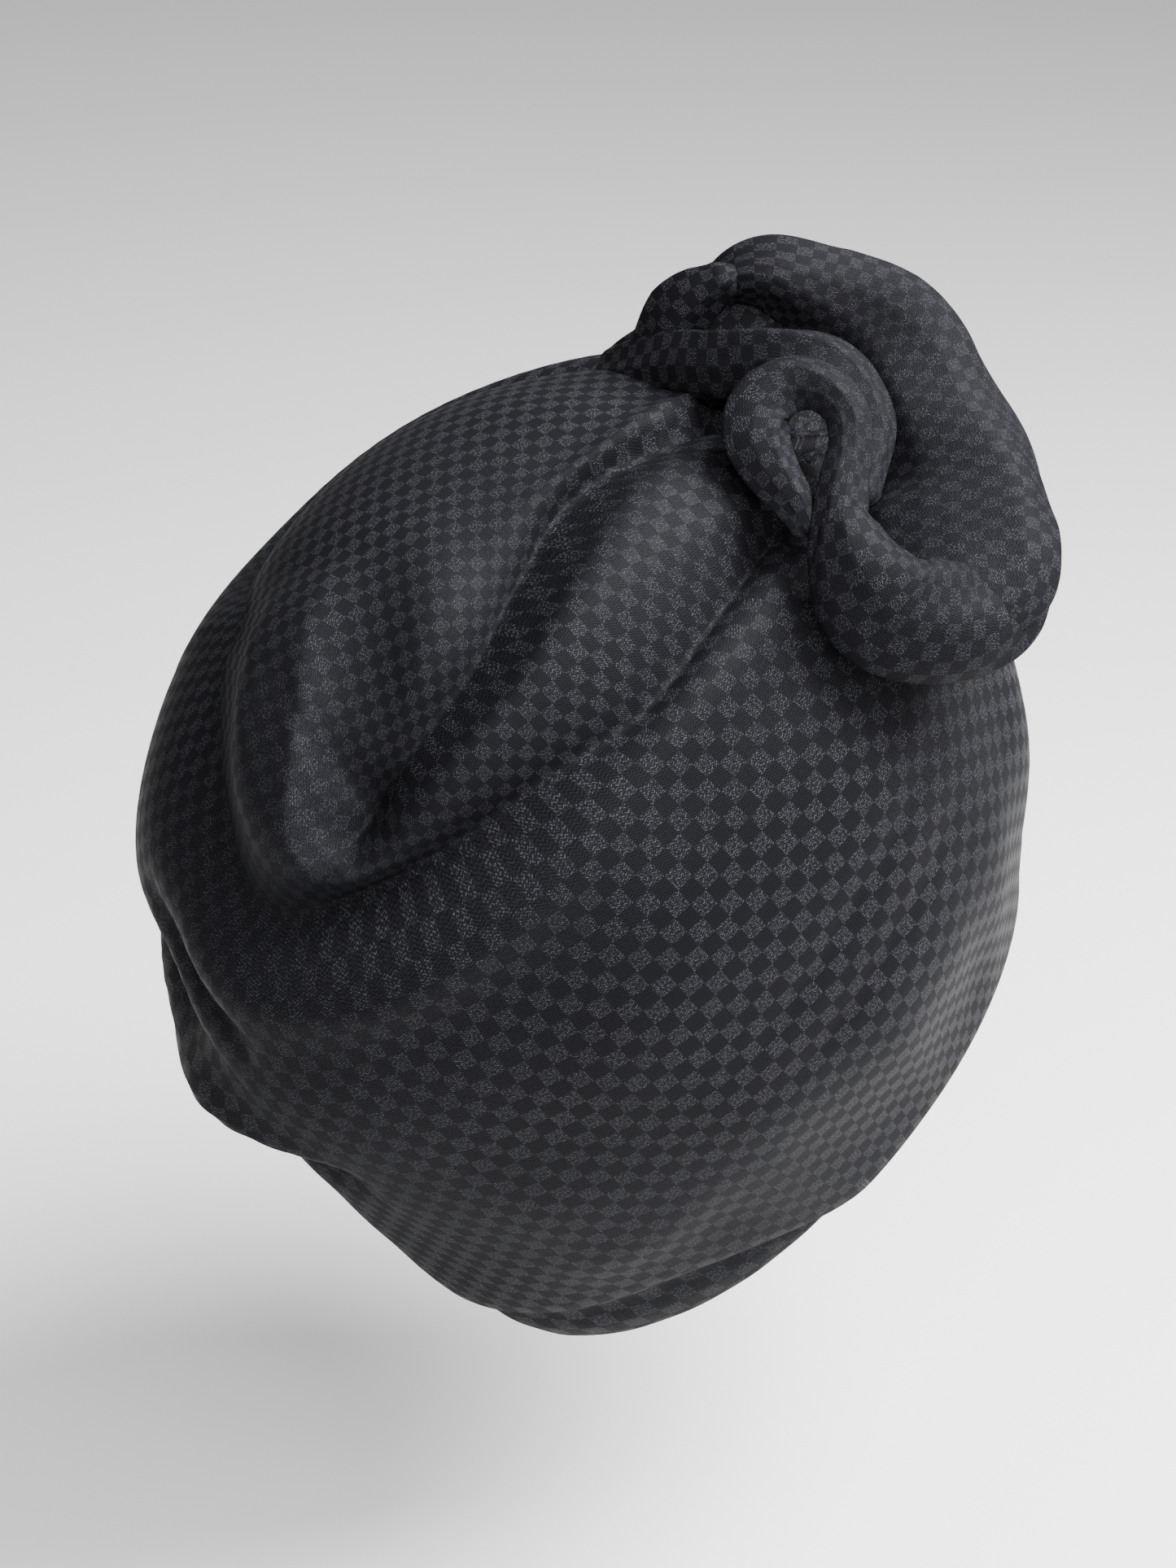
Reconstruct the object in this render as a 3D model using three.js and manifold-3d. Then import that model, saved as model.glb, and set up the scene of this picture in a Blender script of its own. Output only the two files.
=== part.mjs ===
import * as THREE from "three";
import { mergeVertices } from "three/addons/utils/BufferGeometryUtils.js";
import Module from "manifold-3d";

// A soft wound turban: a hollow wrap with a gathered back, a band at the nape and a twisted knot.
// Lengths are in millimetres, angles in degrees, +Z is up and the wearer faces -Y.
// The origin is the middle of the head opening, on the plane of the hem.
const wasm = await Module();
wasm.setup();

// Head opening
const HEM_HALF_WIDTH = 74;
const HEM_HALF_LENGTH = 109;
const HEM_TILT = 36;

// Crown, measured from its own middle, which stands over the opening
const MIDDLE_RISE = 123;
const MIDDLE_FORWARD = 10;
const CROWN_FRONT = 136;
const CROWN_BACK = 124;
const CROWN_SIDE = 103;
const CROWN_TOP = 109;
const CROWN_UNDER = 240;
const NECK_START = 0.76;
const WALL = 2.2;

// Folds: every depth and width in the tables is a share of these two
const FOLD_DEPTH = 13;
const FOLD_WIDTH = 18;
const FOLD_LEAST = 8.5;
const CALM_EDGE = 0.93;

// Nape: the wrap stops short of the hem here and the band shows under it
const NAPE_GAP = 21;
const NAPE_SPREAD = 78;
const BAND_HEIGHT = 32;
const BAND_WALL = 1.8;
const BAND_CLEAR = 0.9;
const BAND_OUT = { start: 0.15, end: 0.6 };

// Knot: its reach along the seat, the half width of its widest roll, and the gap between pieces
const KNOT_REACH = 75;
const ROLL_HALF = 22;
const CLEAR = 0.6;
const TIP = { ring: 0.45, ringSize: 0.72, point: 0.7 };

// Grid: lines out from the knot, rows from the knot to the edge, and how much closer both stand
// where the folds are
const CROWN_LINES = 54;
const CROWN_ROWS = 34;
const BAND_LINES = 36;
const BAND_ROWS = 4;
const FOLDED_LINES = { middle: 174, spread: 44, closer: 5 };
const FOLDED_ROWS = { middle: 0.4, spread: 0.22, closer: 2.4 };
const SPAN_STEPS = 8;
const LOBE_SIDES = 12;
const LOBE_ROWS = 7;

const CLOTH = 0x24252b;
const CLOTH_DARK = 0x16171b;

const rad = THREE.MathUtils.degToRad;
const vec = (x, y, z) => new THREE.Vector3(x, y, z);
const UP = vec(0, Math.sin(rad(HEM_TILT)), Math.cos(rad(HEM_TILT)));
const FRONT = vec(0, -Math.cos(rad(HEM_TILT)), Math.sin(rad(HEM_TILT)));
const RIGHT = vec(-1, 0, 0);
const MIDDLE = vec(0, 0, 0).addScaledVector(UP, MIDDLE_RISE).addScaledVector(FRONT, MIDDLE_FORWARD);

const KNOT_POLE = { azimuth: 27, elevation: 26 };

// Folds of the wrap. Each runs along its rows, and each row holds
// azimuth, elevation, depth, left width, right width, lean.
// Azimuth turns from the front to the wearer's right, elevation is over the crown's middle,
// a depth under 0 is a valley, and the lean draws one flank over the other.
const FOLDS = [
  { name: "valley beside the flap", rows: [
    [16, 36, -0.5, 0.35, 0.28, 0],
    [36, 53, -0.65, 0.22, 0.5, 0.24],
    [61, 58, -0.65, 0.22, 0.5, 0.24],
    [90, 57, -0.6, 0.22, 0.55, 0.2],
    [117, 52, -0.65, 0.25, 0.8, 0.2],
    [130, 48.5, -0.85, 0.3, 0.9, 0.16],
    [137, 47, -0.65, 0.35, 0.55, 0.08],
    [140, 46, 0, 0.35, 0.45, 0],
  ] },
  { name: "flap", rows: [
    [30, 36, 0.3, 1, 1, 0],
    [57, 46, 0.5, 1, 1, 0],
    [86, 48, 0.55, 0.95, 0.95, 0],
    [108, 47.5, 0.55, 0.7, 0.7, 0],
    [126, 44.5, 0.35, 0.55, 0.55, 0],
    [136, 43, 0.2, 0.45, 0.45, 0],
    [141, 42, 0, 0.45, 0.45, 0],
  ] },
  { name: "valley round the side panel", rows: [
    [36, 24, -0.45, 0.3, 0.3, 0],
    [37, 32, -0.65, 0.4, 0.3, -0.16],
    [53, 38, -0.7, 0.35, 0.5, -0.2],
    [74, 41, -0.8, 0.35, 0.65, -0.16],
    [93, 41, -0.95, 0.4, 0.85, 0.08],
    [113, 39, -1, 0.4, 0.85, 0.2],
    [130, 37, -1, 0.4, 0.65, 0.24],
    [145, 37, -1, 0.5, 0.65, 0.16],
    [156, 37, -0.95, 0.7, 0.8, 0.08],
    [166, 41, -0.85, 0.95, 0.9, 0],
    [178, 50, -0.85, 0.95, 0.85, 0],
    [190, 58, -0.65, 0.9, 0.85, 0],
    [207, 65, -0.3, 0.8, 0.8, 0],
    [222, 72, 0, 0.8, 0.8, 0],
  ] },
  { name: "seamed ridge in the pocket", rows: [
    [100, 88, 0, 0.45, 0.45, 0],
    [139, 79, 0.3, 0.45, 0.55, 0],
    [143, 67, 0.5, 0.4, 0.55, 0.12],
    [146, 57, 0.55, 0.35, 0.5, 0.16],
    [147, 49, 0.5, 0.3, 0.45, 0.12],
    [144, 43.5, 0.4, 0.3, 0.35, 0.08],
    [137, 41.5, 0.2, 0.3, 0.3, 0],
    [128, 43, 0, 0.3, 0.3, 0],
  ] },
  { name: "broad swell behind the ridge", rows: [
    [210, 84, 0, 0.8, 0.55, 0],
    [175, 75, 0.3, 0.8, 0.55, 0],
    [165, 66, 0.45, 0.65, 0.55, 0],
    [158, 56, 0.45, 0.55, 0.55, 0],
    [153, 46, 0.2, 0.45, 0.45, 0],
    [151, 40, 0, 0.45, 0.45, 0],
  ] },
  { name: "ripple over the top", rows: [
    [20, 78, 0, 0.65, 0.65, 0],
    [74, 72, 0.25, 0.65, 0.65, 0],
    [100, 64, 0.3, 0.6, 0.5, 0],
    [114, 56, 0.15, 0.5, 0.45, 0],
    [122, 50, 0, 0.45, 0.45, 0],
  ] },
  { name: "thin roll out of the knot", rows: [
    [10, 36, 0.2, 0.3, 0.25, 0],
    [20, 47, 0.45, 0.35, 0.3, 0],
    [30, 55, 0.35, 0.4, 0.35, 0],
    [43, 62, 0.2, 0.5, 0.45, 0],
    [60, 69, 0, 0.5, 0.45, 0],
  ] },
  { name: "roll along the side panel", rows: [
    [42, 24, 0.15, 0.5, 0.65, 0],
    [58, 32, 0.3, 0.5, 0.8, 0],
    [90, 34, 0.35, 0.45, 0.9, 0],
    [115, 31, 0.45, 0.45, 1, 0],
    [140, 28, 0.45, 0.5, 1, 0],
    [165, 30, 0.35, 0.65, 1, 0],
    [182, 36, 0, 0.8, 1, 0],
  ] },
  { name: "crease at the back", rows: [
    [190, 32, -0.3, 0.4, 0.4, 0],
    [180, 28, -0.6, 0.45, 0.45, 0],
    [170, 25, -0.5, 0.3, 0.35, 0.12],
    [166, 22, -0.25, 0.3, 0.35, 0.12],
    [165, 15, 0, 0.35, 0.35, 0],
  ] },
  { name: "gathered bulge at the back", rows: [
    [206, 22, 0, 0.65, 0.9, 0],
    [188, 12, 0.75, 0.75, 1, 0],
    [173, 4, 0.65, 0.65, 1, 0],
    [160, -2, 0, 0.65, 0.9, 0],
  ] },
  { name: "puff over the nape band", rows: [
    [112, -28, 0, 0.6, 0.6, 0],
    [135, -34, 0.25, 0.7, 0.8, 0],
    [160, -33, 0.45, 0.7, 0.9, 0],
    [185, -32, 0.5, 0.7, 0.9, 0],
    [210, -33, 0.4, 0.7, 0.9, 0],
    [240, -28, 0, 0.6, 0.6, 0],
  ] },
  { name: "upper wrinkle over the hem", rows: [
    [48, -2, 0, 0.3, 0.3, 0],
    [62, -5, -0.1, 0.3, 0.3, 0],
    [76, -8, -0.14, 0.3, 0.3, 0],
    [91, -11, -0.1, 0.3, 0.3, 0],
    [108, -13, 0, 0.3, 0.3, 0],
  ] },
  { name: "upper pleat on the left", rows: [
    [-8, 34, 0, 0.4, 0.6, 0],
    [-40, 44, 0.3, 0.45, 0.75, 0.08],
    [-85, 42, 0.4, 0.45, 0.85, 0.08],
    [-125, 38, 0.35, 0.5, 0.85, 0.04],
    [-152, 34, 0.2, 0.5, 0.8, 0],
    [-166, 30, 0, 0.5, 0.7, 0],
  ] },
  { name: "lower pleat on the left", rows: [
    [-12, 8, 0, 0.4, 0.6, 0],
    [-38, 12, 0.3, 0.45, 0.8, 0.08],
    [-80, 8, 0.4, 0.5, 0.9, 0.08],
    [-120, 6, 0.35, 0.5, 0.9, 0.04],
    [-148, 8, 0.2, 0.5, 0.8, 0],
    [-165, 12, 0, 0.5, 0.7, 0],
  ] },
];

// Knot: its seat on the crown and its three directions
const KNOT_SEAT = { azimuth: 29.5, elevation: 20.5 };
const KNOT_AXIS = vec(-0.31, -0.52, 0.79).normalize();
const KNOT_ACROSS = vec(-0.661, -0.481, -0.576).normalize();
const KNOT_ALONG = new THREE.Vector3().crossVectors(KNOT_AXIS, KNOT_ACROSS).normalize();

// Strands of the knot. Each row holds across, along and rise as shares of the knot's reach,
// then half width and half height as shares of the widest roll.
const OUTER_ROLL = [
  [-0.84, 0.24, 0.24, 0.3, 0.27],
  [-0.79, 0.4, 0.33, 0.5, 0.45],
  [-0.63, 0.53, 0.4, 0.7, 0.64],
  [-0.43, 0.59, 0.43, 0.86, 0.73],
  [-0.19, 0.6, 0.39, 1, 0.82],
  [0.07, 0.56, 0.28, 1.05, 0.82],
  [0.31, 0.4, 0.19, 1.14, 0.86],
  [0.45, 0.11, 0.13, 1.09, 0.86],
  [0.47, -0.27, 0.05, 1, 0.82],
  [0.34, -0.5, -0.01, 0.78, 0.73],
  [0.16, -0.58, -0.03, 0.55, 0.59],
  [-0.01, -0.56, 0.04, 0.41, 0.5],
];
const INNER_TWIST = [
  [0.12, -0.53, -0.03, 0.3, 0.36],
  [-0.01, -0.53, 0.04, 0.34, 0.45],
  [-0.11, -0.43, 0.17, 0.34, 0.45],
  [-0.17, -0.28, 0.27, 0.3, 0.42],
  [-0.26, -0.15, 0.33, 0.24, 0.38],
  [-0.38, -0.15, 0.32, 0.24, 0.38],
  [-0.45, -0.31, 0.22, 0.31, 0.4],
  [-0.43, -0.48, 0.08, 0.4, 0.42],
  [-0.33, -0.57, -0.02, 0.34, 0.32],
];
const TOP_BAND = [
  [-0.97, 0.35, -0.31, 0.14, 0.18],
  [-0.92, 0.32, -0.17, 0.27, 0.32],
  [-0.84, 0.27, -0.08, 0.36, 0.36],
  [-0.69, 0.16, 0.08, 0.36, 0.41],
  [-0.55, 0.05, 0.2, 0.36, 0.41],
  [-0.39, 0, 0.29, 0.36, 0.41],
  [-0.2, 0, 0.29, 0.36, 0.41],
  [-0.07, -0.05, 0.21, 0.36, 0.36],
];
const SIDE_LOOP = [
  [-1, 0.45, -0.25, 0.2, 0.18],
  [-0.97, 0.48, -0.09, 0.38, 0.25],
  [-0.97, 0.51, 0.07, 0.34, 0.25],
  [-0.93, 0.48, 0.19, 0.3, 0.25],
  [-0.81, 0.4, 0.28, 0.25, 0.25],
];
// Core of the knot, joined from rounded lobes. Each row holds the lobe's across, along and rise,
// then its half sizes the same three ways, all as shares of the knot's reach.
const CORE_LOBES = [
  [-0.2, 0, -0.04, 0.74, 0.52, 0.28],
  [-0.52, 0.34, 0.08, 0.42, 0.32, 0.3],
  [0.05, 0.3, -0.02, 0.4, 0.34, 0.26],
];
const ROLL_SIDES = 12;
const STRAND_SIDES = 10;
const STRAND_STEPS = 3;
const STRANDS = [
  ["knot_outer_roll", OUTER_ROLL, ROLL_SIDES],
  ["knot_inner_twist", INNER_TWIST, STRAND_SIDES],
  ["knot_top_band", TOP_BAND, STRAND_SIDES],
  ["knot_side_loop", SIDE_LOOP, STRAND_SIDES],
];

function smoothstep(value, from, to) {
  const t = Math.min(Math.max((value - from) / (to - from), 0), 1);
  return t * t * (3 - 2 * t);
}

function direction(azimuth, elevation) {
  const a = rad(azimuth);
  const e = rad(elevation);
  return vec(0, 0, 0)
    .addScaledVector(FRONT, Math.cos(e) * Math.cos(a))
    .addScaledVector(RIGHT, Math.cos(e) * Math.sin(a))
    .addScaledVector(UP, Math.sin(e));
}

// Point of the hem's ellipse at an azimuth in radians
function hemAtAzimuth(azimuth) {
  const along = Math.cos(azimuth) / HEM_HALF_LENGTH;
  const across = Math.sin(azimuth) / HEM_HALF_WIDTH;
  const reach = 1 / Math.hypot(along, across);
  return vec(0, 0, 0)
    .addScaledVector(FRONT, reach * Math.cos(azimuth))
    .addScaledVector(RIGHT, reach * Math.sin(azimuth));
}

// Reach of the crown's rounded body from its middle, before it is drawn in to the hem
function bodyReach(way) {
  const forward = way.dot(FRONT);
  const up = way.dot(UP);
  const length = forward / (forward > 0 ? CROWN_FRONT : CROWN_BACK);
  const width = way.dot(RIGHT) / CROWN_SIDE;
  const height = up / (up > 0 ? CROWN_TOP : CROWN_UNDER);
  return 1 / Math.hypot(length, width, height);
}

function azimuthOf(way) {
  return Math.atan2(way.dot(RIGHT), way.dot(FRONT));
}

function polarOf(way) {
  return Math.acos(THREE.MathUtils.clamp(way.dot(UP), -1, 1));
}

// Way, distance and polar angle of the hem as seen from the crown's middle
function hemFrom(azimuth) {
  const offset = hemAtAzimuth(azimuth).sub(MIDDLE);
  const distance = offset.length();
  const way = offset.divideScalar(distance);
  return { way, distance, polar: polarOf(way) };
}

// Smooth crown without folds: the rounded body, drawn in to the hem over its lowest part
function crownPoint(way) {
  const hem = hemFrom(azimuthOf(way));
  const fraction = polarOf(way) / hem.polar;
  const drawIn = hem.distance / bodyReach(hem.way) - 1;
  const reach = bodyReach(way) * (1 + drawIn * smoothstep(fraction, NECK_START, 1));
  return MIDDLE.clone().addScaledVector(way, reach);
}

function crownNormal(way) {
  const step = 0.004;
  const aside = Math.abs(way.x) < 0.8 ? vec(1, 0, 0) : vec(0, 1, 0);
  const first = new THREE.Vector3().crossVectors(way, aside).normalize();
  const second = new THREE.Vector3().crossVectors(way, first);
  const at = (side, size) => crownPoint(way.clone().addScaledVector(side, size).normalize());
  const one = at(first, step).sub(at(first, -step));
  const two = at(second, step).sub(at(second, -step));
  const normal = one.cross(two).normalize();
  return normal.dot(way) < 0 ? normal.negate() : normal;
}

// Chart of the crown: the angle from its top, laid out flat round that top
function toChart(way) {
  const polar = polarOf(way);
  const azimuth = azimuthOf(way);
  return [polar * Math.cos(azimuth), polar * Math.sin(azimuth)];
}

function fromChart(chart) {
  const polar = Math.hypot(chart[0], chart[1]);
  const azimuth = Math.atan2(chart[1], chart[0]);
  return direction(THREE.MathUtils.radToDeg(azimuth), 90 - THREE.MathUtils.radToDeg(polar));
}

// Smooth curve through rows of numbers
function throughRows(rows, steps) {
  const last = rows.length - 1;
  const before = rows[0].map((value, i) => 2 * value - rows[1][i]);
  const after = rows[last].map((value, i) => 2 * value - rows[last - 1][i]);
  const all = [before, ...rows, after];
  const line = [];
  for (let k = 1; k <= last; k += 1) {
    for (let s = 0; s < steps; s += 1) {
      const t = s / steps;
      line.push(rows[0].map((_, i) => {
        const [a, b, c, d] = [all[k - 1][i], all[k][i], all[k + 1][i], all[k + 2][i]];
        const linear = (c - a) * t;
        const square = (2 * a - 5 * b + 4 * c - d) * t * t;
        const cube = (3 * b - a - 3 * c + d) * t * t * t;
        return 0.5 * (2 * b + linear + square + cube);
      }));
    }
  }
  line.push(rows[last]);
  return line;
}

// Path of a fold over the smooth crown, with its depth, widths and lean at each point
function foldPath(fold) {
  const rows = fold.rows.map(([azimuth, elevation, ...rest]) => {
    const way = direction(azimuth, elevation);
    return [way.x, way.y, way.z, ...rest];
  });
  const line = throughRows(rows, SPAN_STEPS).map(([x, y, z, depth, left, right, lean]) => ({
    point: crownPoint(vec(x, y, z).normalize()),
    depth: depth * FOLD_DEPTH,
    left: left * FOLD_WIDTH,
    right: right * FOLD_WIDTH,
    lean,
  }));
  return line;
}

const PATHS = FOLDS.map(foldPath);

// How far one fold moves a point of the smooth crown
function foldShift(line, point, normal) {
  let nearest = Infinity;
  let found = null;
  for (let i = 0; i < line.length - 1; i += 1) {
    const a = line[i].point;
    const span = line[i + 1].point.clone().sub(a);
    const share = THREE.MathUtils.clamp(point.clone().sub(a).dot(span) / span.lengthSq(), 0, 1);
    const foot = a.clone().addScaledVector(span, share);
    const distance = foot.distanceTo(point);
    if (distance < nearest) {
      nearest = distance;
      found = { i, share, foot, span };
    }
  }
  const from = line[found.i];
  const to = line[found.i + 1];
  const mix = (key) => from[key] + (to[key] - from[key]) * found.share;
  const side = new THREE.Vector3().crossVectors(normal, found.span.normalize());
  const onLeft = point.clone().sub(found.foot).dot(side) > 0;
  const width = Math.hypot(mix(onLeft ? "left" : "right"), FOLD_LEAST);
  const height = mix("depth") * Math.exp(-((nearest / width) ** 2));
  return normal.clone().addScaledVector(side, mix("lean")).multiplyScalar(height);
}

// Share of the nape gap at an azimuth in radians: 1 at the back, 0 outside the spread
function napeShare(azimuth) {
  const away = Math.abs(Math.abs(THREE.MathUtils.radToDeg(azimuth)) - 180);
  return 1 - smoothstep(away, NAPE_SPREAD * 0.5, NAPE_SPREAD);
}

// Places from 0 to a span, closer together by a factor round the middle of a folded stretch
function closerPlaces(count, span, folded) {
  const samples = 720;
  const total = [0];
  for (let i = 0; i < samples; i += 1) {
    const away = Math.abs((i + 0.5) * (span / samples) - folded.middle);
    const near = Math.exp(-((away / folded.spread) ** 2));
    total.push(total[i] + 1 + (folded.closer - 1) * near);
  }
  const places = [];
  let i = 0;
  for (let k = 0; k <= count; k += 1) {
    const wanted = (total[samples] * k) / count;
    while (i < samples - 1 && total[i + 1] < wanted) {
      i += 1;
    }
    const share = (wanted - total[i]) / (total[i + 1] - total[i]);
    places.push(((i + share) * span) / samples);
  }
  return places;
}

// Way from the crown's middle to a point of the grid: a straight line in the chart, from the knot
// at row share 0 to the wrap's edge at 1
function gridWay(angle, share) {
  const start = toChart(direction(KNOT_POLE.azimuth, KNOT_POLE.elevation));
  const hem = vec(0, 0, 0)
    .addScaledVector(FRONT, Math.cos(angle) * HEM_HALF_LENGTH)
    .addScaledVector(RIGHT, Math.sin(angle) * HEM_HALF_WIDTH)
    .sub(MIDDLE);
  const distance = hem.length();
  const end = toChart(hem.normalize());
  const polar = Math.hypot(end[0], end[1]);
  const short = (napeShare(Math.atan2(end[1], end[0])) * NAPE_GAP) / distance / polar;
  const edge = end.map((value) => value * (1 - short));
  return fromChart(start.map((value, i) => value + (edge[i] - value) * share));
}

// Folded wrap, moved out along the smooth crown's normal by a length
function wrapPoints(way, share, lengths) {
  const smooth = crownPoint(way);
  const normal = crownNormal(way);
  const fade = 1 - smoothstep(share, CALM_EDGE, 1);
  const shift = vec(0, 0, 0);
  for (const path of PATHS) {
    shift.add(foldShift(path, smooth, normal));
  }
  const folded = smooth.addScaledVector(shift, fade);
  return lengths.map((length) => folded.clone().addScaledVector(normal, length));
}

// Geometry of a closed surface from its points and its triangles
function surface(points, triangles) {
  const geometry = new THREE.BufferGeometry();
  const flat = points.flatMap((point) => [point.x, point.y, point.z]);
  geometry.setAttribute("position", new THREE.Float32BufferAttribute(flat, 3));
  geometry.setIndex(triangles.flat());
  return geometry;
}

function toSolid(geometry) {
  const mesh = new wasm.Mesh({
    numProp: 3,
    vertProperties: new Float32Array(geometry.attributes.position.array),
    triVerts: new Uint32Array(geometry.index.array),
  });
  return new wasm.Manifold(mesh);
}

function fromSolid(solid) {
  const bodies = solid.decompose().sort((a, b) => b.volume() - a.volume());
  const mesh = bodies[0].getMesh();
  const geometry = new THREE.BufferGeometry();
  const positions = new THREE.Float32BufferAttribute(mesh.vertProperties, 3);
  geometry.setAttribute("position", positions);
  geometry.setIndex(Array.from(mesh.triVerts));
  return geometry;
}

// Triangles of a square between two rings, turned to face out
function quad(a, b, c, d) {
  return [[a, c, b], [a, d, c]];
}

const ANGLES = closerPlaces(CROWN_LINES, 360, FOLDED_LINES).slice(0, CROWN_LINES).map(rad);
const SHARES = closerPlaces(CROWN_ROWS, 1, FOLDED_ROWS).slice(1);

// Every line of the wrap's grid at the given lengths off the folded wrap: [length][line][row]
function wrapGrids(lengths) {
  const grids = lengths.map(() => []);
  const pole = wrapPoints(gridWay(0, 0), 0, lengths);
  for (const angle of ANGLES) {
    const columns = lengths.map(() => []);
    for (const share of SHARES) {
      const points = wrapPoints(gridWay(angle, share), share, lengths);
      points.forEach((point, i) => columns[i].push(point));
    }
    columns.forEach((column, i) => grids[i].push(column));
  }
  return { pole, grids };
}

// Pole fan and squares of one wrap surface, whose pole has the index first. Each square is parted
// along the shorter diagonal of the folded wrap.
function wrapTriangles(first, outward) {
  const at = (line, row) => first + 1 + (line % CROWN_LINES) * CROWN_ROWS + row;
  const point = (line, row) => WRAP.grids[0][line % CROWN_LINES][row];
  const triangles = [];
  for (let line = 0; line < CROWN_LINES; line += 1) {
    triangles.push([first, at(line + 1, 0), at(line, 0)]);
    for (let row = 0; row < CROWN_ROWS - 1; row += 1) {
      const corners = [at(line, row), at(line, row + 1), at(line + 1, row + 1), at(line + 1, row)];
      const straight = point(line, row).distanceTo(point(line + 1, row + 1));
      const crossed = point(line, row + 1).distanceTo(point(line + 1, row));
      const turned = [...corners.slice(1), corners[0]];
      triangles.push(...quad(...(straight < crossed ? corners : turned)));
    }
  }
  return outward ? triangles : triangles.map(([p, q, r]) => [p, r, q]);
}

const WRAP = wrapGrids([0, -WALL, CLEAR]);

function buildWrap() {
  const points = [WRAP.pole[0], ...WRAP.grids[0].flat(), WRAP.pole[1], ...WRAP.grids[1].flat()];
  const half = 1 + CROWN_LINES * CROWN_ROWS;
  const triangles = [
    ...wrapTriangles(0, true),
    ...wrapTriangles(half, false),
  ];
  for (let line = 0; line < CROWN_LINES; line += 1) {
    const here = line * CROWN_ROWS + CROWN_ROWS;
    const next = ((line + 1) % CROWN_LINES) * CROWN_ROWS + CROWN_ROWS;
    triangles.push(...quad(here, half + here, half + next, next));
  }
  return surface(points, triangles);
}

// The wrap as a filled body, a clearance larger, to cut what lies on it
function wrapCutter() {
  const points = [WRAP.pole[2], ...WRAP.grids[2].flat(), vec(0, 0, 0)];
  const triangles = wrapTriangles(0, true);
  for (let line = 0; line < CROWN_LINES; line += 1) {
    const here = line * CROWN_ROWS + CROWN_ROWS;
    const next = ((line + 1) % CROWN_LINES) * CROWN_ROWS + CROWN_ROWS;
    triangles.push([here, next, points.length - 1]);
  }
  return toSolid(surface(points, triangles));
}

// Band inside the wrap's edge. At the nape, where the wrap stops short, it comes out to the wrap's line.
function buildBand() {
  const lines = Math.round(BAND_LINES);
  const rings = [[], []];
  for (let line = 0; line < lines; line += 1) {
    const azimuth = (line / lines) * 2 * Math.PI;
    const hem = hemFrom(azimuth);
    const bare = napeShare(azimuth > Math.PI ? azimuth - 2 * Math.PI : azimuth);
    const outer = [];
    const inner = [];
    for (let row = 0; row <= BAND_ROWS; row += 1) {
      const height = (row / BAND_ROWS) * BAND_HEIGHT;
      const polar = hem.polar - height / hem.distance;
      const way = direction(THREE.MathUtils.radToDeg(azimuth), 90 - THREE.MathUtils.radToDeg(polar));
      const normal = crownNormal(way);
      const open = bare * NAPE_GAP;
      const free = bare * (1 - smoothstep(height, BAND_OUT.start * open, BAND_OUT.end * open + BAND_CLEAR));
      const inset = WALL + BAND_CLEAR - free * WALL;
      outer.push(crownPoint(way).addScaledVector(normal, -inset));
      inner.push(crownPoint(way).addScaledVector(normal, -inset - BAND_WALL));
    }
    rings[0].push(outer);
    rings[1].push(inner);
  }
  const rows = BAND_ROWS + 1;
  const points = [...rings[0].flat(), ...rings[1].flat()];
  const half = lines * rows;
  const triangles = [];
  for (let line = 0; line < lines; line += 1) {
    const a = line * rows;
    const b = ((line + 1) % lines) * rows;
    for (let row = 0; row < BAND_ROWS; row += 1) {
      triangles.push(...quad(a + row, b + row, b + row + 1, a + row + 1));
      triangles.push(...quad(half + a + row, half + a + row + 1, half + b + row + 1, half + b + row));
    }
    triangles.push(...quad(a, half + a, half + b, b));
    triangles.push(...quad(a + BAND_ROWS, b + BAND_ROWS, half + b + BAND_ROWS, half + a + BAND_ROWS));
  }
  return surface(points, triangles);
}

const SEAT = crownPoint(direction(KNOT_SEAT.azimuth, KNOT_SEAT.elevation));

function knotPoint(across, along, rise) {
  return SEAT.clone()
    .addScaledVector(KNOT_ACROSS, across * KNOT_REACH)
    .addScaledVector(KNOT_ALONG, along * KNOT_REACH)
    .addScaledVector(KNOT_AXIS, rise * KNOT_REACH);
}

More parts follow.
